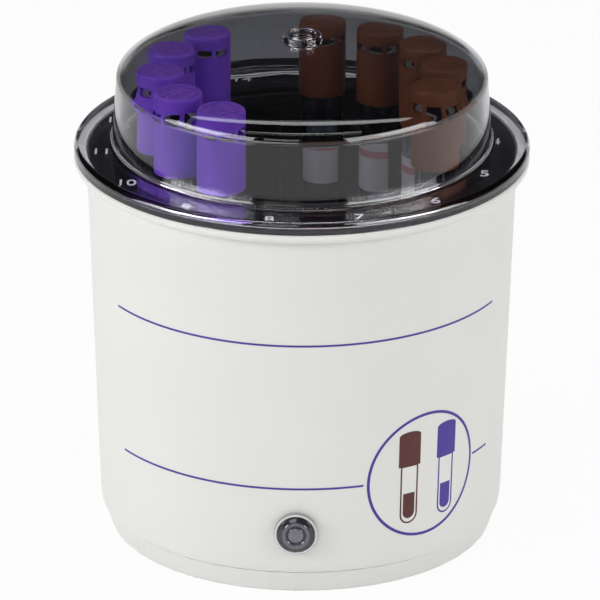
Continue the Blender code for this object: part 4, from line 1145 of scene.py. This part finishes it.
class INCUBATOR_OT_terminal_screws(Operator):
    """Slotted clamp screws in the terminal block"""

    bl_idname = "incubator.terminal_screws"
    bl_label = "Terminal screws"

    def execute(self, context):
        foot, top = low("terminal_block"), high("terminal_block")
        profile = [(0.0, -0.0015), (0.0022, -0.0015), (0.0022, -0.0004), (0.0, -0.0003)]
        head = turned(profile, 24)
        slot = [(-0.003, -0.0003), (0.003, -0.0003), (0.003, 0.0003), (-0.003, 0.0003)]
        shape = cut(head, mesh_of(prism(slot, -0.0009, 0.001)))
        places = [(k * 0.008, (foot.y + top.y) / 2.0, top.z) for k in (-1, 0, 1)]
        repeated("terminal_screws", shape, places, bpy.data.materials["plain_steel"])
        return {"FINISHED"}


# Stage


def seen_directly(tree):
    """One for rays from the camera and for those that a gloss or a clear wall sends on."""
    rays = tree.nodes.new("ShaderNodeLightPath").outputs
    inputs = {0: rays["Is Camera Ray"], 1: rays["Is Glossy Ray"]}
    first = add(tree, "ShaderNodeMath", inputs, operation="MAXIMUM")
    inputs = {0: first.outputs[0], 1: rays["Is Transmission Ray"]}
    return add(tree, "ShaderNodeMath", inputs, operation="MAXIMUM").outputs[0]


def mixed_surface(tree, output, factor, first, second):
    inputs = {0: factor, 1: first.outputs[0], 2: second.outputs[0]}
    mix = add(tree, "ShaderNodeMixShader", inputs)
    tree.links.new(mix.outputs[0], tree.nodes[output].inputs["Surface"])


def floor_finish(colour):
    """Pale floor that keeps the shadow and shows white where it is seen directly."""
    material = bpy.data.materials.new("pale_floor")
    material.use_nodes = True
    tree = material.node_tree
    dull = tree.nodes["Principled BSDF"]
    dull.inputs["Base Color"].default_value = (*colour, 1.0)
    dull.inputs["Roughness"].default_value = 0.9
    glow = add(tree, "ShaderNodeEmission", {"Color": WHITE, "Strength": 1.0})
    glowing = add(tree, "ShaderNodeMath", {0: seen_directly(tree), 1: 0.94}, operation="MULTIPLY")
    mixed_surface(tree, "Material Output", glowing.outputs[0], dull, glow)
    return material


def studio_world(strength):
    """Soft light from all round. Seen directly, it is white up to the horizon and dim overhead."""
    world = bpy.data.worlds.new("studio")
    world.use_nodes = True
    tree = world.node_tree
    sky = tree.nodes["Background"]
    sky.inputs["Strength"].default_value = strength
    sky.inputs["Color"].default_value = WHITE
    way = tree.nodes.new("ShaderNodeTexCoord").outputs["Generated"]
    up = add(tree, "ShaderNodeSeparateXYZ", {0: way}).outputs["Z"]
    rise = add(tree, "ShaderNodeValToRGB", {0: up})
    horizon, overhead = rise.color_ramp.elements
    horizon.position, horizon.color = 0.0, WHITE
    overhead.position, overhead.color = 0.10, (0.03, 0.03, 0.033, 1.0)
    shown_sky = add(tree, "ShaderNodeBackground", {"Color": rise.outputs["Color"]})
    mixed_surface(tree, "World Output", seen_directly(tree), sky, shown_sky)
    return world


def light(name, power, size, place, target, size_y=None):
    data = bpy.data.lights.new(name, "AREA")
    data.energy = power
    data.size = size
    if size_y:
        data.shape = "RECTANGLE"
        data.size_y = size_y
    obj = shown(name, data)
    obj.location = place
    obj.rotation_euler = (Vector(target) - Vector(place)).to_track_quat("-Z", "Y").to_euler()
    return obj


def light_group(name, state):
    """A collection for lights that fall on the lid alone, or on all but the lid."""
    group = bpy.data.collections.new(name)
    group.objects.link(bpy.data.objects["lid"])
    group.collection_objects[0].light_linking.link_state = state
    return group


class INCUBATOR_OT_stage(Operator):
    """Floor, soft studio light and the camera"""

    bl_idname = "incubator.stage"
    bl_label = "Stage"

    def execute(self, context):
        look = settings("stage")
        scene = context.scene
        bm = bmesh.new()
        floor_half = 6.0
        bmesh.ops.create_grid(bm, x_segments=1, y_segments=1, size=floor_half)
        mesh = bpy.data.meshes.new("floor")
        bm.to_mesh(mesh)
        bm.free()
        mesh.materials.append(floor_finish(look.floor))
        shown("floor", mesh)

        scene.world = studio_world(look.sky)
        clear_parts = light_group("clear_parts", "INCLUDE")
        dull_parts = light_group("all_but_clear_parts", "EXCLUDE")
        reach, target = 1.6, (0.0, 0.0, 0.10)
        box_angle, box_rise, box_height = 65.0, radians(22.0), 0.70
        card_angle, card_height = 58.0, 0.68
        for name, power, side in (("left", look.left, -1.0), ("right", look.right, 1.0)):
            place = around(reach * cos(box_rise), radians(box_angle * side), box_height)
            box = light(name + "_softbox", power, 0.90, place, target, 0.50)
            box.data.diffuse_factor = look.fill
            place = around(reach, radians(card_angle * side), card_height)
            card = light(name + "_card", look.cards, 1.85, place, (0.0, 0.0, card_height), 1.34)
            card.light_linking.receiver_collection = clear_parts
        light("front_softbox", look.front, 0.6, (-0.3, -1.5, 0.9), target)
        for name, place, length, width, power in (
            ("back", (0.0, 0.58, 2.04), 2.4, 0.24, 7.2),
            ("front", (0.0, -0.42, 1.95), 1.6, 0.10, 3.2),
        ):
            strip = light(name + "_strip", look.strips, 1.0, place, target, 0.06)
            strip.light_linking.receiver_collection = dull_parts
            band = light(name + "_band", power, length, place, target, width)
            band.light_linking.receiver_collection = clear_parts

        camera = bpy.data.cameras.new("camera")
        camera.sensor_width = 36.0
        camera.lens = 557.98
        camera.clip_end = 50.0
        view = shown("camera", camera)
        elevation, distance, roll, swing = 0.39051716, 2.66843, 0.0040, radians(1.2)
        aim = Vector((-0.000375, 0.0, 0.067379))
        eye = Vector((0.0, -distance * cos(elevation), aim.z + distance * sin(elevation)))
        look_at = (aim - eye).to_track_quat("-Z", "Y").to_matrix().to_4x4()
        turn = Matrix.Rotation(swing, 4, "Z")
        view.matrix_world = turn @ Matrix.Translation(eye) @ look_at @ Matrix.Rotation(roll, 4, "Z")
        scene.camera = view
        scene.view_settings.view_transform = "Standard"
        return {"FINISHED"}


PIECES = (
    INCUBATOR_OT_tub,
    INCUBATOR_OT_base,
    INCUBATOR_OT_plate,
    INCUBATOR_OT_numerals,
    INCUBATOR_OT_block,
    INCUBATOR_OT_caps,
    INCUBATOR_OT_tubes,
    INCUBATOR_OT_prints,
    INCUBATOR_OT_lamp,
    INCUBATOR_OT_terminal_screws,
    INCUBATOR_OT_lid,
    INCUBATOR_OT_stage,
)

SETTINGS = {
    "tub": IncubatorTubSettings,
    "prints": IncubatorPrintSettings,
    "plate": IncubatorPlateSettings,
    "block": IncubatorBlockSettings,
    "lid": IncubatorLidSettings,
    "vials": IncubatorVialSettings,
    "lamp": IncubatorLampSettings,
    "stage": IncubatorStageSettings,
}


class INCUBATOR_PT_panel(Panel):
    """Buttons that build the incubator, and its sizes and colours"""

    bl_label = "Incubator"
    bl_idname = "INCUBATOR_PT_panel"
    bl_space_type = "VIEW_3D"
    bl_region_type = "UI"
    bl_category = "Incubator"

    def draw(self, context):
        for operator in PIECES:
            self.layout.operator(operator.bl_idname)
        for name, group in SETTINGS.items():
            box = self.layout.box()
            box.label(text=name.capitalize())
            values = getattr(context.scene, "incubator_" + name)
            for key in group.__annotations__:
                box.prop(values, key)


def register():
    for name, group in SETTINGS.items():
        bpy.utils.register_class(group)
        setattr(bpy.types.Scene, "incubator_" + name, PointerProperty(type=group))
    for operator in PIECES:
        bpy.utils.register_class(operator)
    bpy.utils.register_class(INCUBATOR_PT_panel)


def unregister():
    bpy.utils.unregister_class(INCUBATOR_PT_panel)
    for operator in reversed(PIECES):
        bpy.utils.unregister_class(operator)
    for name, group in reversed(SETTINGS.items()):
        delattr(bpy.types.Scene, "incubator_" + name)
        bpy.utils.unregister_class(group)


def main():
    register()
    bpy.ops.incubator.tub()
    bpy.ops.incubator.base()
    bpy.ops.incubator.plate()
    bpy.ops.incubator.numerals()
    bpy.ops.incubator.block()
    bpy.ops.incubator.caps()
    bpy.ops.incubator.tubes()
    bpy.ops.incubator.prints()
    bpy.ops.incubator.lamp()
    bpy.ops.incubator.terminal_screws()
    bpy.ops.incubator.lid()
    bpy.ops.incubator.stage()


if __name__ == "__main__":
    main()
